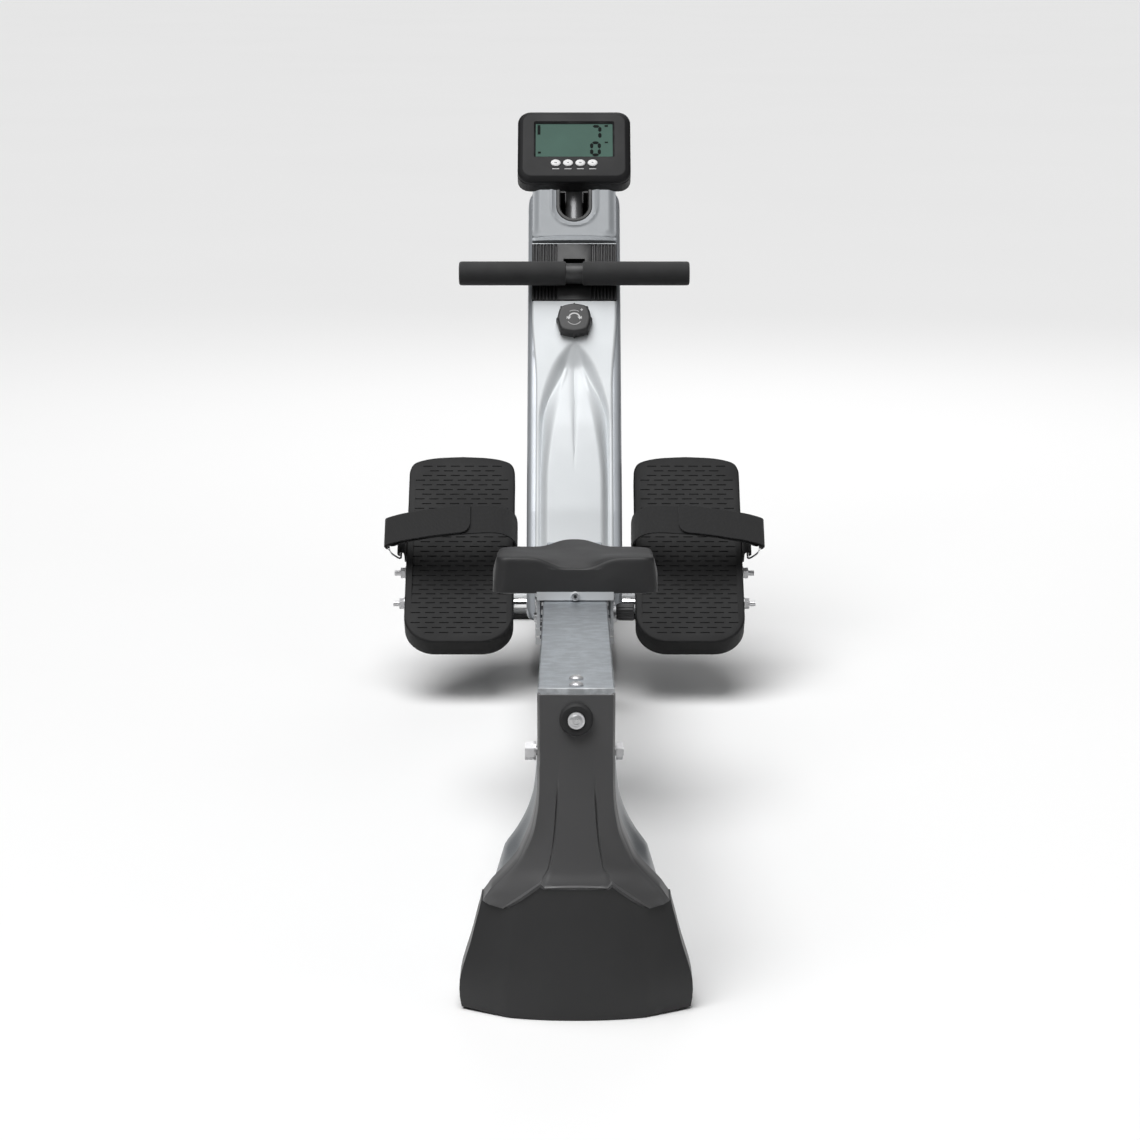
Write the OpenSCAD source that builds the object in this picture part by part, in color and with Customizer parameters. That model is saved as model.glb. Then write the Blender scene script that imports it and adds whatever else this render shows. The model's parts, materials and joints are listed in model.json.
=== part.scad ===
// Folding magnetic rowing machine: sloping rail with a rolling seat, fixed footrests,
// a housed flywheel brake pulled by a strap handle, and a console on a tilting mast.
// +Y runs from the rear leg to the front feet, +X is the rower's right, +Z is up.
// A station is a distance forward from the rearmost point of the leg cover.

/* [Overall] */
// Length from the leg cover to the front of the transport wheels
overall_l = 1920; // [1900:5:1960]

/* [Rail] */
// Width of the rail
rail_w = 80; // [76:1:84]
// Height of the rail section
rail_h = 50; // [46:1:54]
// Slope of the rail, rising towards the rear, in degrees
rail_slope = 5; // [4.5:0.1:5.5]
// Station of the folding hinge pin
hinge_s = 1345; // [1343:1:1347]
// Height of the folding hinge pin above the floor
hinge_z = 190; // [188:1:192]

/* [Seat] */
// Width of the seat pad
seat_w = 207; // [190:1:240]
// Depth of the seat pad along the rail
seat_d = 215; // [200:1:230]
// Radius of the seat rollers
roller_r = 10.6; // [10:0.1:10.7]

/* [Footrests] */
// Width of a footrest plate
pedal_w = 160; // [150:1:164]
// Length of a footrest plate
pedal_l = 340; // [320:5:350]
// Tilt of the footrests above the floor, in degrees
pedal_tilt = 42; // [40:1:44]
// Distance from the centre plane to the middle of a footrest
pedal_x = 170; // [168:1:175]

/* [Housing] */
// Half width of the housing over its bulged sides
housing_hw = 71; // [70:1:74]
// Wall thickness of the moulded covers
wall = 3; // [2.5:0.5:3.5]

/* [Handle] */
// Length of the handle over its grips
handle_l = 352; // [330:2:380]
// Diameter of the foam grips
grip_d = 36.6; // [34:0.2:37]

/* [Console] */
// Width of the console
console_w = 177; // [165:1:190]
// Height of the console along its face
console_h = 128; // [124:1:132]
// Thickness of the console
console_t = 31; // [28:1:34]

/* [Hidden] */
$fn = 48;
eps = 0.01;

function st(s) = s - overall_l / 2;

// Rail frame: local -Y runs rearward along the rail from the hinge pin, local Z is its normal
rail_top = 46;
rail_front = 15;
rail_rear = 1312;
cap_l = 7;
groove_z = 22;
groove_h = 22;
groove_x = 26;
front_roller_u = 470;
rear_roller_u = 620;
seat_u = 543;
seat_low = 58;
travel_rear = 590;
travel_front = 220;

// Housing outline seen from the side, as [station, height], clockwise from the rear foot
face_low = [1440, 262];
face_mid = [1540, 407];
face_top = [1622, 518];
face_angle = 53.13;
neck_top = [1763, 706];
outline = [[1372, 112], [1383, 165], face_low, face_mid, face_top, neck_top, [1822, 662],
           [1850, 560], [1856, 400], [1845, 240], [1815, 120], [1770, 66], [1600, 58]];
rest_lo = 40;
rest_hi = 136;
neck_lo = 140;
neck_hi = 235;

// Shafts inside the housing, as [station, height]
drive_c = [1640, 380];
fly_c = [1660, 205];
guide_c = [1712, 580];
fly_r = 95;
drive_r = 60;
fly_pulley_r = 18;
spool_r = 32;
guide_r = 11.3;
strap_w = 25;
strap_t = 1.8;
post_s = 1788;
arm_pivot = [1714.6, 292.3];
mast_c = [1753.9, 631.4];
mast_angle = 50;
rod_1 = [1400, 131];
rod_2 = [1443, 168];
handle_c = [1647, 592];
console_c = [1771, 723];
console_angle = 50;
button_x = [-28.8, -9.6, 9.6, 28.8];
button_y = 32;
lock_c = [1290, 144];
wheel_c = [1896, 27];
stab_c = [1876, 26];
stab_r = 24;
pedal_c = [1338, 68];
ring_in = [87, 24];
ring_out = [104, 62];

// ---- shared helpers ----
function unit(v) = v / norm(v);
function left_of(v) = [-v[1], v[0]];
function cross2(a, b) = a[0] * b[1] - a[1] * b[0];
// Where the line p + t a meets the line q + u b
function meet(p, a, q, b) = p + a * cross2(q - p, b) / cross2(a, b);
// A convex clockwise outline moved inward by d
function inset(pts, d) = [for (i = [0 : len(pts) - 1])
    let (n = len(pts), p = pts[i], a = unit(p - pts[(i + n - 1) % n]),
         b = unit(pts[(i + 1) % n] - p))
    meet(p - left_of(a) * d, a, p - left_of(b) * d, b)];
// Points of an arc in degrees, from a0 to a1
function arc(c, r, a0, a1, n) = [for (i = [0 : n]) let (a = a0 + (a1 - a0) * i / n)
    c + r * [cos(a), sin(a)]];
// Corner i of an outline replaced by an arc of radius r
function round_corner(p, a, b, r, n) = let (u = unit(a - p), v = unit(b - p),
    half = acos(u * v) / 2, t = r / tan(half), c = p + unit(u + v) * r / sin(half),
    s = p + u * t - c, e = p + v * t - c, a0 = atan2(s[1], s[0]),
    turn = atan2(cross2(s, e), s * e)) arc(c, r, a0, a0 + turn, n);
function rounded(pts, r, n = 5) = [for (i = [0 : len(pts) - 1]) let (m = len(pts))
    each round_corner(pts[i], pts[(i + m - 1) % m], pts[(i + 1) % m], r, n)];

// Extrudes a 2D outline given in [station, height] from x0 to x1
module side_plate(x0, x1) {
    translate([x0, 0, 0])
        multmatrix([[0, 0, 1, 0], [1, 0, 0, -overall_l / 2], [0, 1, 0, 0], [0, 0, 0, 1]])
            linear_extrude(x1 - x0) children();
}
// A cylinder along X through [station, height]
module x_rod(c, r, x0, x1) {
    translate([x0, st(c[0]), c[1]]) rotate([0, 90, 0]) cylinder(r = r, h = x1 - x0);
}
// A hexagon prism along X
module x_hex(c, af, x0, x1) {
    translate([x0, st(c[0]), c[1]]) rotate([0, 90, 0])
        cylinder(r = af / sqrt(3), h = x1 - x0, $fn = 6);
}
module mirrored() {
    children();
    mirror([1, 0, 0]) children();
}
module in_rail() {
    translate([0, st(hinge_s), hinge_z]) rotate([-rail_slope, 0, 0]) children();
}
module in_face() {
    translate([0, st(face_top[0]), face_top[1]]) rotate([face_angle, 0, 0]) children();
}
module in_pedal(side) {
    translate([side * pedal_x, st(pedal_c[0]), pedal_c[1]])
        rotate([pedal_tilt, 0, 0]) children();
}
module in_console() {
    translate([0, st(console_c[0]), console_c[1]]) rotate([console_angle, 0, 0]) children();
}
module in_mast() {
    translate([0, st(mast_c[0]), mast_c[1]]) rotate([mast_angle - 90, 0, 0]) children();
}
// A box centred on x, in whichever frame it is used
module slab(w, y0, y1, z0, z1) {
    translate([-w / 2, y0, z0]) cube([w, y1 - y0, z1 - z0]);
}
module rounded_plate(w, d, r, h) {
    linear_extrude(h) polygon(rounded([[-w / 2, 0], [-w / 2, d], [w / 2, d], [w / 2, 0]], r));
}

// ---- frame ----
beam_hw = 30;
plate_x = 50;
plate_t = 4;
plate_outline = [[1590, 100], [1600, 395], [1640, 425], [1680, 395], [1735, 305], [1730, 100]];
module main_frame() {
    color("dimgray") {
        difference() {
            union() {
                difference() {
                    slab(beam_hw * 2, st(1480), st(1888), 50, 105);
                    slab(beam_hw * 2 - 6, st(1485), st(1886), 53, 102);
                }
                difference() {
                    slab(beam_hw * 2, st(post_s), st(post_s + 35), 102, 600);
                    slab(beam_hw * 2 - 6, st(post_s + 3), st(post_s + 32), 108, 597);
                }
                slab(beam_hw * 2, st(1860), st(1888), 38, 52);
                slab((plate_x + plate_t) * 2, st(1590), st(1730), 102, 107);
                mirrored() side_plate(plate_x, plate_x + plate_t) polygon(plate_outline);
                mirrored() side_plate(16, 20)
                    polygon([[1800, 590], [1800, 520], [1705, 570], [1705, 592],
                             [1742, 622], [1742, 645], [1760, 645]]);
                x_rod(arm_pivot, 3, 0, plate_x + 1);
                x_rod(guide_c, 4, -18, 18);
                x_rod(mast_c, 4, -18, 18);
            }
            x_rod(drive_c, 6.1, -60, 60);
            x_rod(fly_c, 6.1, -60, 60);
            translate([0, st(stab_c[0]), stab_c[1]]) rotate([0, 90, 0])
                cylinder(r = stab_r + 0.2, h = 100, center = true);
        }
    }
}

fork_x = 44.5;
fork_t = 5;
fork_outline = [[1250, 105], [1250, 222], [1318, 222], [1345, 218], [1372, 200], [1470, 186],
                [1480, 150], [1480, 62], [1440, 62], [1380, 105]];
square_z = [159, 143, 135.5, 128, 116];
module fork_bracket() {
    color("silver") difference() {
        union() {
            mirrored() side_plate(fork_x, fork_x + fork_t) polygon(fork_outline);
            mirrored() side_plate(fork_x + fork_t - eps, 56)
                polygon([[1250, 105], [1250, 222], [1254, 222], [1254, 105]]);
            side_plate(-fork_x - eps, fork_x + eps)
                polygon([[1474, 62], [1474, 150], [1479.9, 150], [1479.9, 62]]);
            side_plate(-fork_x - eps, fork_x + eps)
                polygon([[1262, 105], [1262, 110], [1330, 110], [1330, 105]]);
            x_rod(lock_c, 8, fork_x + fork_t - eps, 62);
        }
        x_rod([hinge_s, hinge_z], 6.2, -60, 60);
        x_rod(rod_1, 4.1, -60, 60);
        x_rod(rod_2, 4.1, -60, 60);
        x_rod(lock_c, 4.08, 40, 70);
        for (z = square_z) mirrored()
            translate([53, st(1252), z]) cube([3.6, 6, 3.6], center = true);
    }
}

stab_hl = 222;
module front_stabilizer() {
    color("silver") {
        difference() {
            x_rod(stab_c, stab_r, -stab_hl, stab_hl);
            x_rod(stab_c, stab_r - 2, -stab_hl - 1, stab_hl + 1);
        }
        mirrored() {
            side_plate(stab_hl, stab_hl + 4)
                polygon([[1852, 20], [1866, 46], [1896, 44], [1906, 34], [1906, 20], [1890, 14]]);
            x_rod(wheel_c, 5, stab_hl + 4 - eps, stab_hl + 27);
        }
    }
}

module stabilizer_feet() {
    color("black") mirrored() difference() {
        side_plate(62, stab_hl - 1)
            polygon([[1858, 3], [1861, 0], [1891, 0], [1894, 3], [1894, 14], [1858, 14]]);
        x_rod(stab_c, stab_r + 0.1, 40, 240);
    }
}

wheel_x = stab_hl + 6;
module transport_wheels() {
    color("black") mirrored() difference() {
        union() {
            x_rod(wheel_c, 24, wheel_x, wheel_x + 16);
            x_rod(wheel_c, 9, wheel_x - 0.5, wheel_x + 17);
        }
        x_rod(wheel_c, 5.08, wheel_x - 2, wheel_x + 20);
    }
}

module hinge_bolt() {
    color("silver") {
        x_rod([hinge_s, hinge_z], 6, -54, 55);
        x_hex([hinge_s, hinge_z], 18, 49.7, 57);
        difference() {
            x_hex([hinge_s, hinge_z], 18, -57, -49.7);
            x_rod([hinge_s, hinge_z], 6.02, -58, -49);
        }
    }
}

rod_end = 268;
module footrest_rods() {
    color("silver") for (c = [rod_1, rod_2]) x_rod(c, 4, -rod_end, rod_end);
}
module footrest_spacers() {
    color("silver") for (c = [rod_1, rod_2]) mirrored() difference() {
        x_rod(c, 8.5, 49.7, pedal_x - pedal_w / 2 - 0.2);
        x_rod(c, 4.1, 40, 100);
    }
}
module footrest_nuts() {
    color("silver") for (c = [rod_1, rod_2]) mirrored() difference() {
        union() {
            x_rod(c, 9.5, pedal_x + pedal_w / 2 + 0.1, pedal_x + pedal_w / 2 + 2);
            x_hex(c, 14, pedal_x + pedal_w / 2 + 1.9, pedal_x + pedal_w / 2 + 9);
        }
        x_rod(c, 4.05, 240, 270);
    }
}

// ---- footrests ----
bed_z = 28;
heel_rim = 6;
function pedal_outline(d) = let (w = pedal_w / 2 - d, l = pedal_l - d) concat(
    arc([-w + 46, 46 + d], 46, 270, 180, 10),
    arc([-w + 20, l - 26], 20, 180, 105, 5),
    arc([w - 20, l - 26], 20, 75, 0, 5),
    arc([w - 46, 46 + d], 46, 360, 270, 10));
function rod_in_pedal(c) = let (y = c[0] - pedal_c[0], z = c[1] - pedal_c[1])
    [y * cos(pedal_tilt) + z * sin(pedal_tilt), z * cos(pedal_tilt) - y * sin(pedal_tilt)];
module pedal(side) {
    color("black") difference() {
        in_pedal(side) union() {
            difference() {
                linear_extrude(bed_z) polygon(pedal_outline(0));
                translate([0, 0, -1]) linear_extrude(bed_z - 5) polygon(pedal_outline(5));
            }
            difference() {
                linear_extrude(bed_z + heel_rim) polygon(pedal_outline(0));
                translate([0, 0, bed_z - 1]) linear_extrude(heel_rim + 2)
                    polygon(pedal_outline(6));
                translate([-pedal_w, 92, -1]) cube([pedal_w * 2, pedal_l, bed_z + 20]);
            }
            for (c = [rod_1, rod_2]) translate([0, rod_in_pedal(c)[0], rod_in_pedal(c)[1]])
                rotate([0, 90, 0]) cylinder(r = 9, h = pedal_w, center = true);
        }
        for (c = [rod_1, rod_2]) x_rod(c, 4.1, -300, 300);
    }
}
module left_pedal() { pedal(-1); }
module right_pedal() { pedal(1); }

// ---- straps and rings ----
web_w = 50;
web_t = 3;
web_y = 156;
// Centre line of the webbing across a footrest, from under its inner edge to the ring
web_line = concat([[-72, -4.5], [-80, -2.5]], arc([-82, 2], 2, 270, 180, 3),
    arc([-48, 55], 36, 180, 112, 6), arc([-14, -110], 202, 97, 68, 8),
    [[80, 75], [98, 65]]);
function side_normal(pts, i) = let (a = pts[max(0, i - 1)], b = pts[min(len(pts) - 1, i + 1)])
    left_of(unit(b - a));
function ribbon(pts, t) = concat([for (i = [0 : len(pts) - 1]) pts[i] + side_normal(pts, i) * t / 2],
    [for (i = [len(pts) - 1 : -1 : 0]) pts[i] - side_normal(pts, i) * t / 2]);
module strap(side) {
    color("black") in_pedal(side) scale([side, 1, 1]) difference() {
        union() {
            translate([0, web_y + web_w, 0]) rotate([90, 0, 0]) linear_extrude(web_w)
                polygon(ribbon(web_line, web_t));
            translate([0, web_y, 0]) {
                translate([ring_out[0], 0, ring_out[1]]) rotate([-90, 0, 0])
                    cylinder(r = 7.5, h = web_w);
                translate([ring_in[0], 0, ring_in[1]]) rotate([-90, 0, 0])
                    cylinder(r = 6.5, h = web_w);
                translate([pedal_w / 2 + 0.2, 0, 14]) cube([3, web_w, 12]);
            }
        }
        translate([ring_out[0], web_y - 1, ring_out[1]]) rotate([-90, 0, 0])
            cylinder(r = 5.2, h = web_w + 2);
        translate([ring_in[0], web_y - 1, ring_in[1]]) rotate([-90, 0, 0])
            cylinder(r = 4, h = web_w + 2);
        translate([pedal_w / 2 - 100, web_y - 1, -0.1]) cube([100.1, web_w + 2, bed_z + 0.2]);
    }
}
module left_strap() { strap(-1); }
module right_strap() { strap(1); }

ring_t = 3.4;
ring_over = 4;
module ring(side) {
    reach = ring_out - ring_in;
    l = norm(reach) + ring_t;
    w = web_w + 2 * ring_over;
    color("silver") in_pedal(side) scale([side, 1, 1])
        translate([ring_in[0], web_y - ring_over, ring_in[1]])
            rotate([0, -atan2(reach[1], reach[0]), 0]) translate([-ring_t / 2, 0, -ring_t / 2])
                linear_extrude(ring_t) difference() {
                    polygon(rounded([[0, 0], [0, w], [l, w], [l, 0]], 3));
                    translate([ring_t, ring_t]) square([l - 2 * ring_t, w - 2 * ring_t]);
                }
}
module left_ring() { ring(-1); }
module right_ring() { ring(1); }

// ---- housing ----
side_inset = 30;
face_hw = 65;
seam_gap = 0.15;
// The notch that lets the frame's post out through the housing, as heights
post_notch = [100, 172];
module housing_body(shrink) {
    hull() {
        side_plate(-housing_hw + 5 + shrink, housing_hw - 5 - shrink)
            polygon(rounded(inset(outline, shrink), 8, 3));
        side_plate(-housing_hw + shrink, housing_hw - shrink)
            polygon(rounded(inset(outline, side_inset + shrink), 30, 5));
    }
}
// A band that follows the rower's side of the housing, from depth d0 to d1 under it
module face_band(hw, d0, d1) {
    outer = inset(outline, d0);
    inner = inset(outline, d1);
    side_plate(-hw, hw) polygon([outer[1], outer[2], outer[3], outer[4], outer[5],
                                 inner[5], inner[4], inner[3], inner[2], inner[1]]);
}
module housing_shell(side) {
    color("lightsteelblue") difference() {
        housing_body(0);
        housing_body(wall);
        translate([side > 0 ? -200 : -seam_gap, st(1300), 0])
            cube([200 + seam_gap, 700, 800]);
        face_band(face_hw, -9, 12);
        slab(116, st(1350), st(1500), 50, 205);
        slab(beam_hw * 2 + 2, st(1475), st(1900), 40, 106);
        slab(beam_hw * 2 + 2, st(post_s - 2), st(1900), post_notch[0], post_notch[1]);
        in_face() slab(58, neck_lo, 300, -70, 30);
        for (c = [rod_1, rod_2]) x_rod(c, 9.2, -100, 100);
    }
}
module housing_left_shell() { housing_shell(-1); }
module housing_right_shell() { housing_shell(1); }

cover_hw = face_hw - 0.3;
// The raised bow on the cover, as [distance below the face's top, half width]
bow_rows = [[36, 10], [52, 25], [76, 38], [112, 48]];
module bulge() {
    hull() {
        for (r = bow_rows) in_face() translate([0, -r[0], -4]) scale([1, 0.8, 0.36])
            sphere(r = r[1], $fn = 32);
        translate([0, st(1489), 315]) rotate([56, 0, 0]) scale([1, 0.8, 0.36])
            sphere(r = 53, $fn = 32);
        translate([0, st(1450), 258]) rotate([58, 0, 0]) scale([1, 0.5, 0.3])
            sphere(r = 54, $fn = 32);
    }
}
module housing_front_cover() {
    color("gainsboro") difference() {
        union() {
            difference() {
                face_band(cover_hw, 0, wall);
                slab(400, st(1300), st(1500), 0, 207);
                in_face() slab(400, rest_lo - 2, 400, -100, 100);
            }
            difference() {
                bulge();
                side_plate(-100, 100) polygon(inset(outline, 0.5));
            }
            in_face() cylinder(r = 14, h = 1.5);
        }
        in_face() translate([0, 0, -60]) cylinder(r = 4.1, h = 120);
    }
}

rib_pitch = 6.1;
rib_n = 6;
module handle_rest() {
    color("black") in_face() difference() {
        union() {
            slab(cover_hw * 2, rest_lo, rest_hi, -wall, 0.5);
            mirrored() for (i = [0 : rib_n - 1])
                translate([30 + i * rib_pitch, rest_lo, 0]) cube([2.6, rest_hi - rest_lo, 4.5]);
            slab(53, rest_lo, rest_hi, 0, 3.5);
        }
        slab(strap_w + 8, 78, 112, -10, 10);
    }
}

slot_hw = 28;
slot_y = 208;
module neck_cover() {
    color("silver") in_face() difference() {
        union() {
            translate([0, neck_lo, -wall]) rounded_plate(cover_hw * 2, neck_hi - neck_lo, 3, wall + 3);
            slab(cover_hw * 2, neck_lo, neck_lo + 5, 0, 8);
            mirrored() translate([cover_hw - 5, neck_lo, 0]) cube([5, neck_hi - neck_lo - 1, 5]);
        }
        translate([0, slot_y, -20]) cylinder(r = slot_hw, h = 60);
        slab(slot_hw * 2, slot_y, 300, -20, 60);
    }
}

// ---- drive ----
module x_ring(c, r, bore, x0, x1) {
    difference() {
        x_rod(c, r, x0, x1);
        x_rod(c, bore, x0 - 1, x1 + 1);
    }
}
module flywheel_axle() {
    color("silver") {
        x_rod(fly_c, 6, -58, 58);
        mirrored() x_ring(fly_c, 10, 6.02, 54.2, 58);
    }
}
module drive_shaft() {
    color("silver") {
        x_rod(drive_c, 6, -58, 58);
        mirrored() x_ring(drive_c, 10, 6.02, 54.2, 58);
    }
}
module flywheel() {
    color("gray") difference() {
        union() {
            x_rod(fly_c, fly_r, 4, 26);
            x_rod(fly_c, 20, -24, 30);
            x_rod(fly_c, fly_pulley_r, -40, -22);
            x_ring(fly_c, 24, 10, -40, -38);
        }
        x_ring(fly_c, fly_r - 14, 26, 16, 27);
        x_rod(fly_c, 6.08, -50, 50);
    }
}
module drive_pulley() {
    color("black") difference() {
        union() {
            x_rod(drive_c, drive_r, -38, -24);
            x_rod(drive_c, 16, -42, -18);
        }
        x_ring(drive_c, drive_r - 9, 20, -39, -33);
        x_rod(drive_c, 6.08, -50, 50);
    }
}
belt_gap = 0.3;
belt_t = 2.5;
module belt_loop(grow, x0, x1) {
    hull() {
        x_rod(drive_c, drive_r + grow, x0, x1);
        x_rod(fly_c, fly_pulley_r + grow, x0, x1);
    }
}
module drive_belt() {
    color("black") difference() {
        belt_loop(belt_gap + belt_t, -36, -26);
        belt_loop(belt_gap, -40, -20);
    }
}
module strap_spool() {
    color("gray") difference() {
        union() {
            x_rod(drive_c, spool_r, -14, 14);
            x_ring(drive_c, 38, 5, -16, -13.5);
            x_ring(drive_c, 38, 5, 13.5, 16);
        }
        x_rod(drive_c, 6.08, -50, 50);
    }
}
module return_spring() {
    color("silver") x_ring(drive_c, 30, 6.3, 20, plate_x - 0.1);
}
module guide_roller() {
    color("white") difference() {
        union() {
            x_rod(guide_c, guide_r, -14, 14);
            mirrored() x_rod(guide_c, 14, 13, 15);
        }
        x_rod(guide_c, 4.08, -20, 20);
    }
}
module arm_slice(r0, r1, a0, a1, x0, x1) {
    side_plate(x0, x1) polygon(concat(arc(fly_c, r1, a0, a1, 12), arc(fly_c, r0, a1, a0, 12)));
}
magnet_n = 4;
module magnet_arm() {
    color("dimgray") {
        difference() {
            union() {
                arm_slice(100.5, 105, -25, 60, 3, 27);
                x_rod(arm_pivot, 7, 3, 27);
            }
            x_rod(arm_pivot, 3.08, -10, 60);
        }
        for (i = [0 : magnet_n - 1])
            arm_slice(97.5, 100.4, -24 + i * 17, -12 + i * 17, 6, 24);
    }
}

knob_r = 22.4;
knob_h = 20;
lobe_n = 8;
module tension_knob() {
    color("black") in_face() {
        difference() {
            translate([0, 0, 2]) cylinder(r = knob_r, h = knob_h - 2);
            for (i = [0 : lobe_n - 1]) rotate([0, 0, i * 360 / lobe_n])
                translate([knob_r + 9.5, 0, 0]) cylinder(r = 10.5, h = 40);
        }
        for (i = [0 : lobe_n - 1]) rotate([0, 0, (i + 0.5) * 360 / lobe_n])
            translate([knob_r - 3, -2, 2]) cube([4.4, 4, knob_h - 4]);
        translate([0, 0, -24]) cylinder(r = 4, h = 27);
    }
}

// ---- pull strap and handle ----
run_d = drive_c - guide_c;
run_r = spool_r + 1.2;
turn_r = guide_r + 0.2 + strap_t / 2;
run_a = atan2(run_d[1], run_d[0]) + acos(-(run_r - turn_r) / norm(run_d));
strap_line = concat([[handle_c[0] + 16, guide_c[1] + turn_r]], arc(guide_c, turn_r, 90, run_a, 10),
    [drive_c + run_r * [cos(run_a), sin(run_a)]]);
module pull_strap() {
    color("black") side_plate(-strap_w / 2, strap_w / 2) polygon(ribbon(strap_line, strap_t));
}
bar_r = 12.5;
module handle_bar() {
    color("silver") difference() {
        x_rod(handle_c, bar_r, -handle_l / 2 + 4, handle_l / 2 - 4);
        x_rod(handle_c, bar_r - 2, -handle_l, handle_l);
    }
}
module hand_grips() {
    color("black") mirrored() difference() {
        x_rod(handle_c, grip_d / 2, 13, handle_l / 2);
        x_rod(handle_c, bar_r + 0.02, 10, handle_l / 2 - 4);
    }
}
module handle_yoke() {
    color("black") difference() {
        union() {
            x_rod(handle_c, 15.5, -12.8, 12.8);
            side_plate(-12.8, 12.8) polygon([[1647, 585], [1647, 600], [1661, 597], [1661, 588]]);
        }
        x_rod(handle_c, bar_r + 0.02, -20, 20);
    }
}

// ---- console ----
console_r = 19;
split_z = -12;
module console_block(inset_d, z0, z1) {
    translate([0, inset_d, z0]) rounded_plate(console_w - 2 * inset_d, console_h - 2 * inset_d,
                                              console_r - inset_d, z1 - z0);
}
module console_front_shell() {
    color("black") in_console() difference() {
        console_block(0, split_z + 0.1, 0);
        console_block(wall, split_z - 1, -wall);
        translate([-63, 44, -10]) cube([126, 68, 20]);
        for (x = button_x) translate([x, button_y, -10]) scale([1, 0.82, 1])
            cylinder(r = 8.2, h = 20);
    }
}
mast_r = 14;
mast_l = 162;
socket_y = 40;
// How far the mast's axis lies behind the face of the console
mast_n = (mast_c - console_c) * [-sin(console_angle), cos(console_angle)];
module console_rear_shell() {
    color("black") in_console() difference() {
        union() {
            console_block(0, -console_t, split_z);
            slab(40, socket_y, socket_y + 50, mast_n - 17, -console_t + 1);
        }
        console_block(wall, -console_t + wall, 0);
        translate([0, 20, mast_n]) rotate([-90, 0, 0]) cylinder(r = mast_r + 0.05, h = 62);
    }
}
module console_display() {
    color("darkseagreen") in_console() translate([-65, 42, -wall - 3]) cube([130, 72, 2.9]);
}
module button(i) {
    color("white") in_console() translate([button_x[i], button_y, -8]) scale([1, 0.82, 1])
        cylinder(r = 7.8, h = 9.8);
}
module console_button_1() { button(0); }
module console_button_2() { button(1); }
module console_button_3() { button(2); }
module console_button_4() { button(3); }
module console_mast() {
    color("gray") in_mast() difference() {
        union() {
            cylinder(r = mast_r, h = mast_l);
            rotate([0, 90, 0]) cylinder(r = mast_r, h = 28, center = true);
        }
        translate([0, 0, 16]) cylinder(r = mast_r - 2.5, h = mast_l);
        rotate([0, 90, 0]) cylinder(r = 4.08, h = 60, center = true);
    }
}

// ---- rail ----
web = 4;
module rail_section() {
    hw = rail_w / 2;
    low = rail_top - rail_h;
    difference() {
        polygon([[-hw, low], [hw, low], [hw, rail_top - 1.5], [hw - 1.5, rail_top],
                 [-hw + 1.5, rail_top], [-hw, rail_top - 1.5]]);
        for (s = [-1, 1]) translate([s * (groove_x + 10), groove_z])
            square([20, groove_h], center = true);
        translate([-groove_x + web, low + web]) square([2 * (groove_x - web), rail_h - 2 * web]);
    }
}
screw_u = [1254, 1297];
module rail() {
    color("silver") in_rail() difference() {
        translate([0, -rail_front, 0]) rotate([90, 0, 0]) linear_extrude(rail_rear - rail_front)
            rail_section();
        for (u = screw_u) translate([0, -u, 20]) cylinder(r = 3.1, h = 60);
    }
}
plug_l = 10;
cap_r = 196;
module rail_end_cap() {
    color("silver") in_rail() union() {
        intersection() {
            translate([-rail_w / 2, -rail_rear - cap_l, rail_top - rail_h])
                cube([rail_w, cap_l, rail_h]);
            translate([0, cap_r - rail_rear - cap_l, 0])
                cylinder(r = cap_r, h = 200, center = true, $fn = 96);
        }
        translate([-groove_x + web + 0.5, -rail_rear - 1, rail_top - rail_h + web + 0.5])
            cube([2 * (groove_x - web) - 1, plug_l, rail_h - 2 * web - 1]);
    }
}
module rail_end_screws() {
    color("silver") in_rail() for (u = screw_u) translate([0, -u, 0]) {
        translate([0, 0, 34]) cylinder(r = 3, h = rail_top - 34 + 1);
        difference() {
            intersection() {
                translate([0, 0, rail_top]) cylinder(r = 7.5, h = 4.4);
                translate([0, 0, rail_top - 5]) sphere(r = 10);
            }
            translate([0, 0, rail_top + 2.4]) cylinder(r = 2.6, h = 5, $fn = 6);
        }
    }
}
block_x = 40.2;
block_outline = [[-14, -16], [-14, 12], [-6, 20], [60, 30], [140, 30], [150, 20], [150, -4],
                 [96, -16], [80, -60], [66, -66], [60, -62], [56, -46], [40, -30], [16, -16]];
module rail_hinge_block() {
    color("silver") in_rail() difference() {
        union() {
            mirrored() translate([block_x, 0, 0])
                multmatrix([[0, 0, 1, 0], [-1, 0, 0, 0], [0, 1, 0, 0], [0, 0, 0, 1]])
                    linear_extrude(3.8) polygon(block_outline);
            slab(2 * block_x + 2, -148, -18, -8, -4.1);
        }
        rotate([0, 90, 0]) cylinder(r = 6.08, h = 200, center = true);
        rotate([rail_slope, 0, 0]) lock_slot();
    }
}
// The lock pin's seat, left open along the arc that the pin follows as the rail folds
module lock_slot() {
    d = [lock_c[0] - hinge_s, lock_c[1] - hinge_z];
    for (k = [0 : 3]) rotate([k * 5, 0, 0]) translate([30, d[0], d[1]]) rotate([0, 90, 0])
        cylinder(r = 4.3, h = 30);
    rotate([8, 0, 0]) translate([30, d[0], d[1]]) translate([0, -4.3, -12]) cube([30, 20, 12]);
}
module lock_knob() {
    color("black") {
        x_rod(lock_c, 4, 38.5, 66);
        x_rod(lock_c, 13, 62.2, 84);
        x_rod(lock_c, 10, 84 - eps, 86);
    }
}
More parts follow.
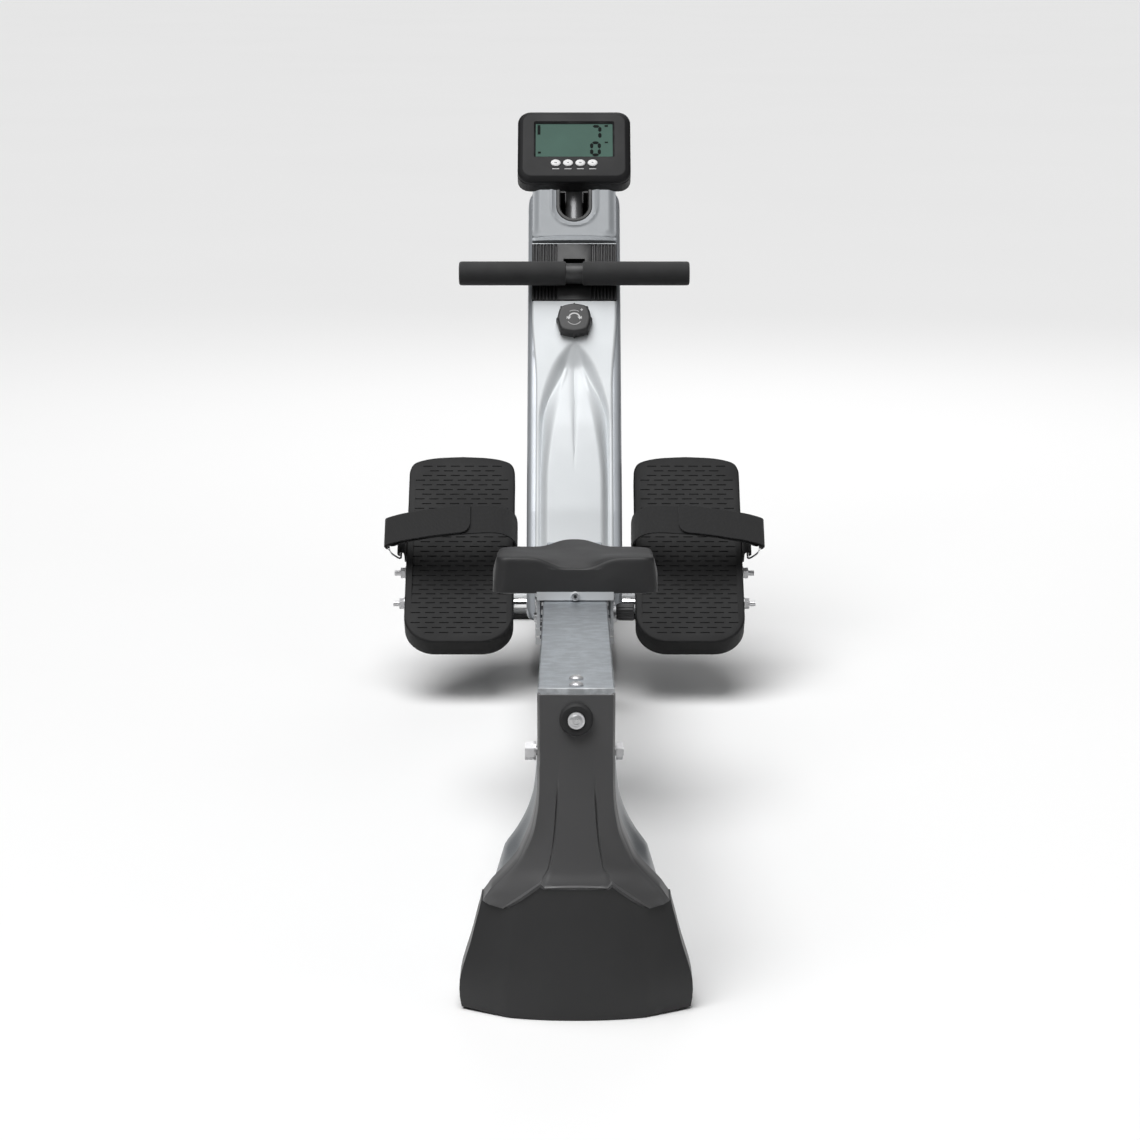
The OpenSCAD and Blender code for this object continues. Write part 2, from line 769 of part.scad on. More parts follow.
// The rubber stops stand just past the rollers at each end of the seat's travel
stop_l = 15;
stop_gap = 1.4;
stop_u = [front_roller_u - travel_front - roller_r - stop_gap - stop_l,
          rear_roller_u + travel_rear + roller_r + stop_gap];
module rail_stops() {
    color("black") in_rail() for (u = stop_u) mirrored()
        translate([groove_x + 0.3, -u - stop_l, groove_z - groove_h / 2 + 0.2])
            cube([12, stop_l, groove_h - 0.4]);
}

// ---- rear leg ----
leg_front = 78;
// Sections of the rear cover as [height, half width, station of its edge, station of its middle]
rear_sections = [[3, 123, 42, 0], [34, 123, 42, 0.5], [117, 100, 42, 6], [133, 89.4, 44, 12],
                 [146, 77, 42, 14], [165, 61.6, 38, 15.5], [182, 54, 36, 16.5],
                 [197, 47.8, 34, 17.5], [213, 44.5, 32, 18], [232, 41, 31, 19],
                 [343, 40.5, 30, 24]];
front_sections = [[4, 121, 140, 150], [31, 120, 140, 150], [155, 76, 130, 138],
                  [186, 56, 126, 132], [217, 46, 122, 128], [241, 43, 118, 124],
                  [286, 41, 116, 122]];
ring_n = 10;
// One section's points: a bowed face from edge to edge, closed at station back
function section(s, back, d) = let (w = s[1] - d, e = s[2], m = s[3], k = e > back ? -1 : 1)
    concat([[w, st(back), s[0]], [w, st(e + k * d), s[0]]],
    [for (i = [1 : ring_n - 1]) let (t = 1 - 2 * i / ring_n)
        [w * t, st(m + k * d + (e - m) * pow(abs(t), 2.2)), s[0]]],
    [[-w, st(e + k * d), s[0]], [-w, st(back), s[0]]]);
module loft(sections, back, d, z_low, z_high, flip) {
    n = ring_n + 3;
    m = len(sections);
    rings = [for (j = [0 : m - 1]) [for (p = section(sections[j], back, d))
        [p[0], p[1], j == 0 ? z_low : (j == m - 1 ? z_high : p[2])]]];
    pts = [for (r = rings) each r];
    sides = [for (j = [0 : m - 2], i = [0 : n - 1]) let (a = j * n + i, b = j * n + (i + 1) % n)
        flip ? [a, b, b + n, a + n] : [a, a + n, b + n, b]];
    low = [for (i = [0 : n - 1]) i];
    high = [for (i = [n - 1 : -1 : 0]) (m - 1) * n + i];
    polyhedron(points = pts, faces = concat(sides, [flip ? [for (i = [n - 1 : -1 : 0]) i] : low],
        [flip ? [for (i = [0 : n - 1]) (m - 1) * n + i] : high]), convexity = 6);
}
module rail_space(grow) {
    in_rail() translate([-200, -rail_rear - cap_l - grow, rail_top - rail_h - grow])
        cube([400, 500, 300]);
}
cross_bolt = [80, 272];
bolt_seat = 42.3;
bumper_z = 322;
module leg_rear_cover() {
    color([0.15, 0.15, 0.15]) difference() {
        loft(rear_sections, leg_front, 0, 3, 343, true);
        loft(rear_sections, leg_front + 1, 3.5, 0, 400, true);
        rail_space(0.5);
        x_rod(cross_bolt, 5.3, -60, 60);
        translate([0, st(-20), bumper_z]) rotate([-90, 0, 0]) cylinder(r = 4.2, h = 60);
    }
}
module leg_front_cover() {
    color("slategray") difference() {
        loft(front_sections, leg_front + 0.3, 0, 4, 286, false);
        loft(front_sections, leg_front - 1, 3, 0, 400, false);
        x_rod(cross_bolt, 5.3, -60, 60);
    }
}
module leg_post() {
    color("dimgray") difference() {
        union() {
            slab(56, st(62), st(98), 6, 310);
            slab(200, st(56), st(116), 6, 12);
        }
        slab(50, st(65), st(95), 14, 320);
        rail_space(0.2);
        x_rod(cross_bolt, 5.2, -60, 60);
    }
}
module leg_bumper() {
    color("black") translate([0, st(16), bumper_z]) rotate([-90, 0, 0]) difference() {
        cylinder(r = 17.5, h = 6.4);
        translate([0, 0, -1]) cylinder(r = 4.1, h = 20);
        translate([0, 0, -1]) cylinder(r = 9.2, h = 3);
    }
}
module leg_bolts() {
    color("silver") {
        x_rod(cross_bolt, 5, -53, 50);
        x_hex(cross_bolt, 17, -54, -44);
        x_rod(cross_bolt, 10, -44.5, -bolt_seat);
        difference() {
            x_hex(cross_bolt, 17, bolt_seat, 49);
            x_rod(cross_bolt, 5.02, 40, 60);
        }
        translate([0, st(14), bumper_z]) rotate([-90, 0, 0]) {
            cylinder(r = 8.8, h = 3.9);
            cylinder(r = 4, h = 16.5);
        }
    }
}
module leg_floor_pads() {
    color("black") mirrored() translate([58, st(58), 0]) cube([40, 56, 5.9]);
}

// ---- seat ----
module seat_outline(d) {
    polygon(rounded([[-seat_w / 2 + d, -seat_d / 2 + d], [-seat_w / 2 + d, seat_d / 2 - d],
                     [seat_w / 2 - d, seat_d / 2 - d], [seat_w / 2 - d, -seat_d / 2 + d]],
                    40 - d, 8));
}
module in_seat() {
    in_rail() translate([0, -seat_u, 0]) children();
}
module seat_pad() {
    color([0.2, 0.2, 0.2]) in_seat() difference() {
        translate([0, 0, seat_low]) linear_extrude(37) seat_outline(2);
        translate([0, 0, seat_low - 1]) linear_extrude(8) seat_outline(8.5);
    }
}
module seat_base() {
    color("black") in_seat() translate([0, 0, seat_low + 0.2]) linear_extrude(6.5) seat_outline(9);
}
plate_in = 44.2;
carriage_t = 4;
module carriage() {
    color("silver") in_rail() difference() {
        union() {
            slab(2 * (plate_in + carriage_t), -648, -446, seat_low - 4, seat_low);
            mirrored() translate([plate_in, -640, 10]) cube([carriage_t, 194, seat_low - 10]);
            slab(2 * (plate_in + carriage_t), -650, -646, rail_top + 1.5, seat_low);
            slab(2 * (plate_in + carriage_t), -450, -446, rail_top + 1.5, seat_low);
            translate([0, -651.5, 53]) rotate([-90, 0, 0]) cylinder(r = 5.6, h = 3);
        }
        for (u = [front_roller_u, rear_roller_u]) translate([0, -u, groove_z]) rotate([0, 90, 0])
            cylinder(r = 3.1, h = 200, center = true);
        translate([0, -660, 53]) rotate([-90, 0, 0]) cylinder(r = 2.6, h = 20);
    }
}
module carriage_bolts() {
    color("silver") in_rail() {
        for (u = [front_roller_u, rear_roller_u]) mirrored() {
            translate([29, -u, groove_z]) rotate([0, 90, 0]) cylinder(r = 3, h = 21);
            translate([plate_in + carriage_t + 0.05, -u, groove_z]) rotate([0, 90, 0])
                cylinder(r = 6, h = 3.5);
        }
        difference() {
            union() {
                translate([0, -655, 53]) rotate([-90, 0, 0]) cylinder(r = 4.5, h = 3.4);
                translate([0, -654, 53]) rotate([-90, 0, 0]) cylinder(r = 2.5, h = 14);
            }
            translate([0, -656, 53]) rotate([-90, 0, 0]) cylinder(r = 2, h = 2.8, $fn = 6);
        }
    }
}
module rollers(u) {
    color("white") in_rail() mirrored() translate([30.3, -u, groove_z]) rotate([0, 90, 0])
        difference() {
            cylinder(r = roller_r, h = 9);
            translate([0, 0, -1]) cylinder(r = 3.07, h = 20);
        }
}
module front_rollers() { rollers(front_roller_u); }
module rear_rollers() { rollers(rear_roller_u); }

main_frame();
fork_bracket();
front_stabilizer();
stabilizer_feet();
hinge_bolt();
footrest_rods();
footrest_spacers();
footrest_nuts();
left_pedal();
right_pedal();
left_strap();
right_strap();
housing_left_shell();
housing_right_shell();
housing_front_cover();
handle_rest();
neck_cover();
flywheel_axle();
drive_shaft();
drive_belt();
return_spring();
tension_knob();
magnet_arm();
flywheel();
drive_pulley();
strap_spool();
guide_roller();
console_mast();
console_rear_shell();
console_front_shell();
console_display();
console_button_1();
console_button_2();
console_button_3();
console_button_4();
handle_bar();
hand_grips();
handle_yoke();
pull_strap();
rail();
rail_end_cap();
rail_end_screws();
rail_hinge_block();
rail_stops();
leg_post();
leg_rear_cover();
leg_front_cover();
leg_bumper();
leg_bolts();
leg_floor_pads();
seat_pad();
seat_base();
carriage();
carriage_bolts();
front_rollers();
rear_rollers();
lock_knob();
left_ring();
right_ring();
transport_wheels();
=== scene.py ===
"""The looks of a folding rowing machine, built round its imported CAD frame.

Metres in the row frame: +Y runs from the rear leg to the front feet, +X is the rower's right,
+Z is up. Outlines are written in millimetres and scaled by MM. A station is a distance forward
from the rearmost point of the leg cover, in millimetres.
"""
import json
import math

import bmesh
import bpy
from mathutils import Matrix, Vector
from mathutils.kdtree import KDTree


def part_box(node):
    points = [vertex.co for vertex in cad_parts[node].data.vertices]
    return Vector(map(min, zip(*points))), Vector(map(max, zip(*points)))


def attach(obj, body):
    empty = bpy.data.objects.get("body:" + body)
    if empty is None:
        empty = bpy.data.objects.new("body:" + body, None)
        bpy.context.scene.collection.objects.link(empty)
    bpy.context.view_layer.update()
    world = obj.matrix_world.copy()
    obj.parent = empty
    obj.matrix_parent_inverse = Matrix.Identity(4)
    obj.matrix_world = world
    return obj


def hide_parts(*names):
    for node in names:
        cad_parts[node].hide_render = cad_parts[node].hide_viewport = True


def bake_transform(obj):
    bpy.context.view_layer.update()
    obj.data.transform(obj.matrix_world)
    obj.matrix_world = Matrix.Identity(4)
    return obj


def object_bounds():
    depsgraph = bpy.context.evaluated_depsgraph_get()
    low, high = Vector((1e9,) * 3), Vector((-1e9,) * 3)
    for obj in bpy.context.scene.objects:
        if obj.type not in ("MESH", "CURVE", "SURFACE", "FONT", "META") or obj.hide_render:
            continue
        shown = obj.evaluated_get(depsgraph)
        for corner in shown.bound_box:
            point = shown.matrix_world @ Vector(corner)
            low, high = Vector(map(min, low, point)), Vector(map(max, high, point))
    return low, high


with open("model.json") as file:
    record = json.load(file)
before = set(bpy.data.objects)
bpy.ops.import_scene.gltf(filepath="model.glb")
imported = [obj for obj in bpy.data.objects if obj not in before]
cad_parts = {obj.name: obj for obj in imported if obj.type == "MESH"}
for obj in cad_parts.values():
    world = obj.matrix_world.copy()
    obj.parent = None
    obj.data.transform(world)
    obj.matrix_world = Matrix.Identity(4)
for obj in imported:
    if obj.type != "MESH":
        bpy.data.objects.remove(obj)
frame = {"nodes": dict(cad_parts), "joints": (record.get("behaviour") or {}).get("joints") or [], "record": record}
cad_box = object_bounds()

MM = 0.001
X_AXIS = Vector((1, 0, 0))
JOINTS = {j["name"]: j for j in frame["joints"]}
NODES = frame["nodes"]
LENGTH_MM = round((cad_box[1].y - cad_box[0].y) / MM)
SIDES = ((-1, "left"), (1, "right"))
WALL = 3  # thickness of the moulded covers, in mm


# ---- places ----
def st(station):
    """The row's Y of a station."""
    return (station - LENGTH_MM / 2) * MM


def lying(origin, along):
    """A frame whose X is the row's X and whose Y runs along a direction."""
    y = Vector(along).normalized()
    m = Matrix((X_AXIS, y, X_AXIS.cross(y))).transposed().to_4x4()
    m.translation = Vector(origin)
    return m


def upright(origin, normal):
    """A frame whose X is the row's X and whose Z is a normal."""
    return lying(origin, Vector(normal).cross(X_AXIS))


RAIL = lying(JOINTS["rail_fold"]["pos_m"], JOINTS["seat_slide"]["axis"])
FACE = upright(JOINTS["tension_knob_turn"]["pos_m"], JOINTS["tension_knob_turn"]["axis"])
CONSOLE = upright((0, st(1771), 0.723), -Vector(JOINTS["button_1_press"]["axis"]))
FOOT = {side: lying((side * 0.170, st(1338), 0.068), JOINTS["left_ring_swing"]["axis"])
        for side in (-1, 1)}


# ---- curves and outlines ----
def smooth(a, b, x):
    """0 at a and 1 at b, eased between them; a may be the larger."""
    t = min(1.0, max(0.0, (x - a) / (b - a)))
    return t * t * (3 - 2 * t)


def lerp(a, b, t):
    """From a to b as t goes from 0 to 1."""
    return a + (b - a) * t


def along_table(rows, x):
    """Smoothly read column values from rows of [x, value, ...]."""
    if x <= rows[0][0]:
        return list(rows[0][1:])
    if x >= rows[-1][0]:
        return list(rows[-1][1:])
    k = max(i for i in range(len(rows)) if rows[i][0] <= x)
    k = min(k, len(rows) - 2)
    span = rows[k + 1][0] - rows[k][0]
    t = (x - rows[k][0]) / span
    out = []
    for c in range(1, len(rows[0])):
        def slope(i):
            lo, hi = max(i - 1, 0), min(i + 1, len(rows) - 1)
            return (rows[hi][c] - rows[lo][c]) / (rows[hi][0] - rows[lo][0])
        m0, m1 = slope(k) * span, slope(k + 1) * span
        p0, p1 = rows[k][c], rows[k + 1][c]
        out.append((2 * t**3 - 3 * t**2 + 1) * p0 + (t**3 - 2 * t**2 + t) * m0
                   + (3 * t**2 - 2 * t**3) * p1 + (t**3 - t**2) * m1)
    return out


def arc(centre, radius, a0, a1, n):
    """Points on an arc, from a0 to a1 degrees."""
    return [Vector((centre[0] + radius * math.cos(math.radians(lerp(a0, a1, i / n))),
                    centre[1] + radius * math.sin(math.radians(lerp(a0, a1, i / n)))))
            for i in range(n + 1)]


def rounded(points, radius, n=5):
    """A closed outline with each corner replaced by an arc of n + 1 points."""
    out = []
    for i, p in enumerate(points):
        p = Vector(p)
        u = (Vector(points[i - 1]) - p).normalized()
        v = (Vector(points[(i + 1) % len(points)]) - p).normalized()
        half = u.angle(v) / 2
        c = p + (u + v).normalized() * (radius / math.sin(half))
        s = p + u * (radius / math.tan(half)) - c
        e = p + v * (radius / math.tan(half)) - c
        turn = s.angle_signed(e)
        for k in range(n + 1):
            out.append(c + Matrix.Rotation(-turn * k / n, 2) @ s)
    return out


def inset(points, d):
    """A convex clockwise outline moved inward by d."""
    out = []
    for i, p in enumerate(points):
        p = Vector(p)
        a = (p - Vector(points[i - 1])).normalized()
        b = (Vector(points[(i + 1) % len(points)]) - p).normalized()
        na, nb = Vector((a.y, -a.x)), Vector((b.y, -b.x))
        out.append(p + (na + nb) * (d / (1 + na.dot(nb))))
    return out


def resample(points, n):
    """A closed outline as n points, evenly spaced along it."""
    pts = [Vector(p) for p in points]
    pts.append(pts[0])
    ends = [0.0]
    for a, b in zip(pts, pts[1:]):
        ends.append(ends[-1] + (b - a).length)
    out, k = [], 0
    for i in range(n):
        want = ends[-1] * i / n
        while ends[k + 1] < want:
            k += 1
        out.append(pts[k].lerp(pts[k + 1], (want - ends[k]) / (ends[k + 1] - ends[k])))
    return out


def box_outline(w, h, x=0.0, y=0.0):
    """A w by h rectangle round x, y."""
    return [(x - w / 2, y - h / 2), (x - w / 2, y + h / 2),
            (x + w / 2, y + h / 2), (x + w / 2, y - h / 2)]


# ---- meshes ----
def placed(name, data):
    """A new object in the scene."""
    obj = bpy.data.objects.new(name, data)
    bpy.context.scene.collection.objects.link(obj)
    return obj


def piece(name, verts, faces, at=None, scale=MM):
    """A mesh object from points in mm, placed by a frame."""
    mesh = bpy.data.meshes.new(name)
    mesh.from_pydata([Vector(v) * scale for v in verts], [], faces)
    bm = bmesh.new()
    bm.from_mesh(mesh)
    bmesh.ops.remove_doubles(bm, verts=bm.verts, dist=1e-6)
    bmesh.ops.recalc_face_normals(bm, faces=bm.faces)
    bm.to_mesh(mesh)
    bm.free()
    if at is not None:
        mesh.transform(at)
    obj = placed(name, mesh)
    shade(obj)
    return obj


def shade(obj, angle=35):
    """Smooth shading that stays sharp at edges above an angle."""
    mesh = obj.data
    bm = bmesh.new()
    bm.from_mesh(mesh)
    for f in bm.faces:
        f.smooth = True
    for e in bm.edges:
        e.smooth = len(e.link_faces) == 2 and e.calc_face_angle(0) < math.radians(angle)
    bm.to_mesh(mesh)
    bm.free()


def ring_faces(rows, n, closed):
    """Quads between rows of n points each."""
    faces = []
    for j in range(rows - 1):
        for i in range(n if closed else n - 1):
            k = (i + 1) % n
            faces.append((j * n + i, j * n + k, (j + 1) * n + k, (j + 1) * n + i))
    return faces


def loft(name, rings, at=None, caps=True, closed=True):
    """A skin through rings of equally many points, in mm."""
    n = len(rings[0])
    verts = [p for r in rings for p in r]
    faces = ring_faces(len(rings), n, closed)
    if caps:
        faces.append(tuple(range(n)))
        faces.append(tuple((len(rings) - 1) * n + i for i in reversed(range(n))))
    return piece(name, verts, faces, at)


def levels(outline, *heights):
    """One flat outline at each of several heights."""
    return [[(p[0], p[1], z) for p in outline] for z in heights]


def plate(name, outline, z0, z1, at, edge=0.8):
    """An outline in mm extruded from z0 to z1, with softened rims."""
    obj = loft(name, levels(outline, z0, z1), at)
    soften(obj, edge)
    return obj


def wire(name, path, radius, at=None, closed=False, sides=12):
    """A round wire along a path, in mm."""
    pts = [Vector(p) for p in path]
    n = len(pts)
    rings = []
    side = None
    for i, p in enumerate(pts):
        ahead = pts[(i + 1) % n] if closed or i < n - 1 else p
        behind = pts[i - 1] if closed or i > 0 else p
        d = (ahead - behind).normalized()
        if side is None:
            side = d.orthogonal().normalized()
        side = (side - d * side.dot(d)).normalized()
        other = d.cross(side)
        rings.append([p + (side * math.cos(math.tau * k / sides)
                           + other * math.sin(math.tau * k / sides)) * radius
                      for k in range(sides)])
    if closed:
        rings.append(rings[0])
    return loft(name, rings, at, caps=not closed)


def band(name, path, v0, v1, thick, at, edge=0.5, drop=0.0):
    """Webbing swept along a path of (x, n) points; its width runs from v0 to v1.

    Towards the outer side it runs lower by drop.
    """
    rings = []
    pts = [Vector(p) for p in path]
    for i, p in enumerate(pts):
        d = (pts[min(i + 1, len(pts) - 1)] - pts[max(i - 1, 0)]).normalized()
        up = Vector((-d.y, d.x))
        h = thick / 2
        section = [(v0, -h + edge), (v0, h - edge), (v0 + edge, h), (v1 - edge, h),
                   (v1, h - edge), (v1, -h + edge), (v1 - edge, -h), (v0 + edge, -h)]
        low = drop * smooth(-84, 60, p.x)
        rings.append([(p.x + up.x * b, a - low, p.y + up.y * b) for a, b in section])
    return loft(name, rings, at)


def soften(obj, width=0.8, segments=2, angle=30):
    """A small rounded edge on every corner sharper than an angle."""
    m = obj.modifiers.new("edges", "BEVEL")
    m.width = width * MM
    m.segments = segments
    m.limit_method = "ANGLE"
    m.angle_limit = math.radians(angle)
    m.harden_normals = True
    m.use_clamp_overlap = True
    return obj


def subdivide(obj):
    """One level of smooth subdivision."""
    m = obj.modifiers.new("smooth", "SUBSURF")
    m.levels = 1
    m.render_levels = 1
    return obj


def thicken(obj, mm, offset=-1):
    """Gives a skin a wall, on its inner side unless offset says otherwise."""
    m = obj.modifiers.new("wall", "SOLIDIFY")
    m.thickness = mm * MM
    m.offset = offset
    return obj


def bake_modifiers(obj):
    """Turns the evaluated shape into the object's own mesh."""
    graph = bpy.context.evaluated_depsgraph_get()
    mesh = bpy.data.meshes.new_from_object(obj.evaluated_get(graph))
    obj.modifiers.clear()
    obj.data = mesh
    return obj


def cut(obj, *cutters):
    """Takes the cutters out of obj and removes them."""
    for c in cutters:
        m = obj.modifiers.new("cut", "BOOLEAN")
        m.operation = "DIFFERENCE"
        m.solver = "EXACT"
        m.object = c
    bake_modifiers(obj)
    for c in cutters:
        bpy.data.objects.remove(c)
    shade(obj)
    return obj


def block(x0, x1, y0, y1, z0, z1, at=None):
    """A plain cutter box in mm."""
    ring = [(x0, y0), (x1, y0), (x1, y1), (x0, y1)]
    return loft("cutter", levels(ring, z0, z1), at)


# ---- materials ----
class Surface:
    """A Principled material whose detail is built from procedural nodes."""

    def __init__(self, name, colour, rough, **sockets):
        self.mat = bpy.data.materials.new(name)
        self.mat.use_nodes = True
        self.tree = self.mat.node_tree
        self.shader = self.tree.nodes["Principled BSDF"]
        self.colour = colour
        self.shader.inputs["Base Color"].default_value = (*colour, 1)
        self.shader.inputs["Roughness"].default_value = rough
        self.rough = rough
        for key, value in sockets.items():
            self.shader.inputs[key.replace("_", " ")].default_value = value
        self.where = self.tree.nodes.new("ShaderNodeTexCoord").outputs["Object"]

    def node(self, kind, **inputs):
        n = self.tree.nodes.new(kind)
        for key, value in inputs.items():
            self.link(value, n.inputs[key.replace("_", " ")])
        return n

    def link(self, value, socket):
        if isinstance(value, bpy.types.NodeSocket):
            self.tree.links.new(value, socket)
        else:
            socket.default_value = value

    def scaled(self, scale):
        m = self.node("ShaderNodeMapping", Vector=self.where)
        m.inputs["Scale"].default_value = scale
        return m.outputs["Vector"]

    def noise(self, scale, detail=4.0, stretch=None):
        where = self.scaled(stretch) if stretch else self.where
        return self.node("ShaderNodeTexNoise", Vector=where, Scale=scale,
                         Detail=detail).outputs["Fac"]

    def ramp(self, value, low, high, to_low=0.0, to_high=1.0):
        """Maps low to to_low and high to to_high, in a straight line between."""
        n = self.node("ShaderNodeMapRange", Value=value)
        for key, v in zip(("From Min", "From Max", "To Min", "To Max"),
                          (low, high, to_low, to_high)):
            n.inputs[key].default_value = v
        return n.outputs["Result"]

    def tint(self, factor, other):
        """Mixes the base colour towards another where factor is high."""
        n = self.tree.nodes.new("ShaderNodeMix")
        n.data_type = "RGBA"
        self.link(factor, n.inputs["Factor"])
        base = self.shader.inputs["Base Color"]
        if base.is_linked:
            self.link(base.links[0].from_socket, n.inputs["A"])
        else:
            n.inputs["A"].default_value = (*self.colour, 1)
        n.inputs["B"].default_value = (*other, 1)
        self.tree.links.new(n.outputs["Result"], base)
        return self

    def mottle(self, scale, amount):
        """Slow colour variation of a moulded or painted surface."""
        darker = tuple(c * (1 - amount) for c in self.colour)
        return self.tint(self.ramp(self.noise(scale, 5.0), 0.35, 0.7), darker)

    def roughen(self, scale, spread, stretch=None):
        value = self.ramp(self.noise(scale, 6.0, stretch), 0.3, 0.7,
                          max(0.02, self.rough - spread), min(1, self.rough + spread))
        self.tree.links.new(value, self.shader.inputs["Roughness"])
        return self

    def bump(self, height, distance, strength=1.0):
        """Adds relief on top of any that is already there."""
        n = self.node("ShaderNodeBump", Height=height)
        n.inputs["Distance"].default_value = distance
        n.inputs["Strength"].default_value = strength
        normal = self.shader.inputs["Normal"]
        if normal.is_linked:
            self.tree.links.new(normal.links[0].from_socket, n.inputs["Normal"])
        self.tree.links.new(n.outputs["Normal"], normal)
        return self

    def grain(self, scale, distance, detail=3.0, stretch=None):
        return self.bump(self.noise(scale, detail, stretch), distance)

    def cells(self, scale, distance, strength=1.0):
        n = self.node("ShaderNodeTexVoronoi", Vector=self.where, Scale=scale)
        return self.bump(n.outputs["Distance"], distance, strength)

    def product(self, a, b):
        n = self.node("ShaderNodeMath")
        n.operation = "MULTIPLY"
        self.tree.links.new(a, n.inputs[0])
        self.tree.links.new(b, n.inputs[1])
        return n.outputs["Value"]

    def worn_edges(self, other):
        """Paler patches along the sharper edges."""
        n = self.tree.nodes.new("ShaderNodeNewGeometry")
        worn = self.ramp(n.outputs["Pointiness"], 0.53, 0.62)
        patches = self.ramp(self.noise(60, 6.0), 0.4, 0.65)
        return self.tint(self.product(worn, patches), other)


def moulded(name, colour, rough=0.5, grain=900, depth=0.00006, **sockets):
    """Moulded plastic with a fine spark-eroded texture."""
    return (Surface(name, colour, rough, **sockets).mottle(6, 0.07).roughen(16, 0.04)
            .grain(grain, depth).worn_edges(tuple(min(1, c * 1.7 + 0.02) for c in colour)).mat)


def painted(name, colour, rough, metallic, flake=0.0):
    """Sprayed paint: orange peel, and metal flake where the paint is silver."""
    s = Surface(name, colour, rough, Metallic=metallic, Coat_Weight=0.12, Coat_Roughness=0.35)
    s.mottle(3, 0.03).roughen(24, 0.04).grain(420, 0.000008, 2.0)
    if flake:
        flakes = s.node("ShaderNodeTexVoronoi", Vector=s.where, Scale=2600.0)
        s.tint(s.ramp(flakes.outputs["Distance"], 0.0, 0.5, flake, 0.0), (1, 1, 1))
    return s.mat


def brushed(name, colour, rough, stretch, metallic=1.0):
    """Metal with fine drawn lines along one axis."""
    s = Surface(name, colour, rough, Metallic=metallic)
    s.mottle(3, 0.06).roughen(600, 0.07, stretch).grain(900, 0.000012, 4.0, stretch)
    return s.worn_edges(tuple(min(1, c * 1.25) for c in colour)).mat


def webbing(name, colour):
    """Woven strap: two crossed sets of ribs, with fuzz."""
    s = Surface(name, colour, 0.85, Sheen_Weight=0.12, Sheen_Roughness=0.5)
    ribs = []
    for direction in ("X", "Y"):
        n = s.node("ShaderNodeTexWave", Vector=s.where, Scale=180.0, Distortion=0.6)
        n.bands_direction = direction
        ribs.append(n.outputs["Fac"])
    weave = s.product(*ribs)
    s.tint(s.ramp(weave, 0.2, 0.9), tuple(c * 1.8 for c in colour))
    return s.bump(weave, 0.0003).grain(700, 0.0001).mat


def foam(name, colour):
    """Closed-cell foam: soft pitted skin."""
    s = Surface(name, colour, 0.78, Sheen_Weight=0.15, Sheen_Roughness=0.5)
    return s.mottle(40, 0.25).cells(900, 0.0002, 0.6).grain(1800, 0.00008).mat


def rubber(name, colour, rough=0.7):
    """Rubber or moulded skin: matt, with a fine even grain."""
    s = Surface(name, colour, rough)
    return s.mottle(7, 0.10).roughen(18, 0.04).grain(1400, 0.00005).mat


def crystal(name, colour):
    """Liquid crystal panel: faint pixel grid behind a smooth pane."""
    s = Surface(name, colour, 0.45, Specular_IOR_Level=0.15)
    s.mottle(22, 0.12)
    lines = s.node("ShaderNodeTexChecker", Vector=s.where, Scale=2400.0)
    return s.tint(s.ramp(lines.outputs["Fac"], 0, 1, 0, 0.12), (0.1, 0.2, 0.17)).mat


BLACK = (0.022, 0.022, 0.023)
MATERIALS = {
    "frame_paint": painted("frame_paint", (0.10, 0.105, 0.11), 0.38, 0.0),
    "silver_paint": painted("silver_paint", (0.72, 0.735, 0.75), 0.40, 0.15, 0.2),
    "zinc": brushed("zinc", (0.66, 0.66, 0.67), 0.34, (1, 1, 20), 0.55),
    "chrome": brushed("chrome", (0.82, 0.82, 0.83), 0.10, (20, 1, 1)),
    "black_rubber": rubber("black_rubber", BLACK),
    "pedal_plastic": moulded("pedal_plastic", (0.012, 0.012, 0.0125), 0.6, 700, 0.0001,
                             Specular_IOR_Level=0.25),
    "webbing": webbing("webbing", (0.012, 0.012, 0.0125)),
    "housing_silver": painted("housing_silver", (0.52, 0.55, 0.585), 0.40, 0.40, 0.25),
    "cover_silver": painted("cover_silver", (0.74, 0.77, 0.79), 0.50, 0.12, 0.25),
    "neck_silver": painted("neck_silver", (0.36, 0.38, 0.40), 0.55, 0.08, 0.25),
    "wing_silver": painted("wing_silver", (0.22, 0.235, 0.25), 0.42, 0.35, 0.2),
    "black_plastic": moulded("black_plastic", (0.024, 0.024, 0.025), 0.45),
    "console_black": moulded("console_black", (0.017, 0.017, 0.018), 0.5, 1100, 0.00004,
                             Specular_IOR_Level=0.22),
    "mast_grey": painted("mast_grey", (0.17, 0.17, 0.175), 0.36, 0.5),
    "lcd": crystal("lcd", (0.060, 0.135, 0.105)),
    "button_white": moulded("button_white", (0.86, 0.86, 0.86), 0.3, 1500, 0.00002),
    "steel_tube": painted("steel_tube", (0.03, 0.03, 0.03), 0.3, 0.2),
    "foam": foam("foam", (0.030, 0.030, 0.031)),
    "rail_aluminium": brushed("rail_aluminium", (0.42, 0.45, 0.48), 0.38, (1, 1, 1), 0.8),
    "cap_grey": moulded("cap_grey", (0.52, 0.54, 0.56), 0.42),
    "seat_skin": rubber("seat_skin", (0.023, 0.023, 0.024), 0.55),
    "roller_nylon": moulded("roller_nylon", (0.74, 0.74, 0.71), 0.4),
    "pulley_plastic": moulded("pulley_plastic", (0.03, 0.03, 0.03), 0.42),
    "flywheel_iron": brushed("flywheel_iron", (0.28, 0.28, 0.29), 0.42, (1, 1, 8)),
}
INK = Surface("display_ink", (0.006, 0.010, 0.009), 0.6,
              Specular_IOR_Level=0.08).mottle(60, 0.3).mat
PRINT = Surface("white_print", (0.72, 0.72, 0.72), 0.5).mottle(120, 0.15).grain(900, 0.00002).mat
# Painted light: the leg column is coloured a lighter grey than the black base, standing in for the light its
# up-leaning face catches.
LEG_COLUMN_PAINTED_LIGHT = moulded("leg_column_painted_light", (0.110, 0.110, 0.112), 0.42)
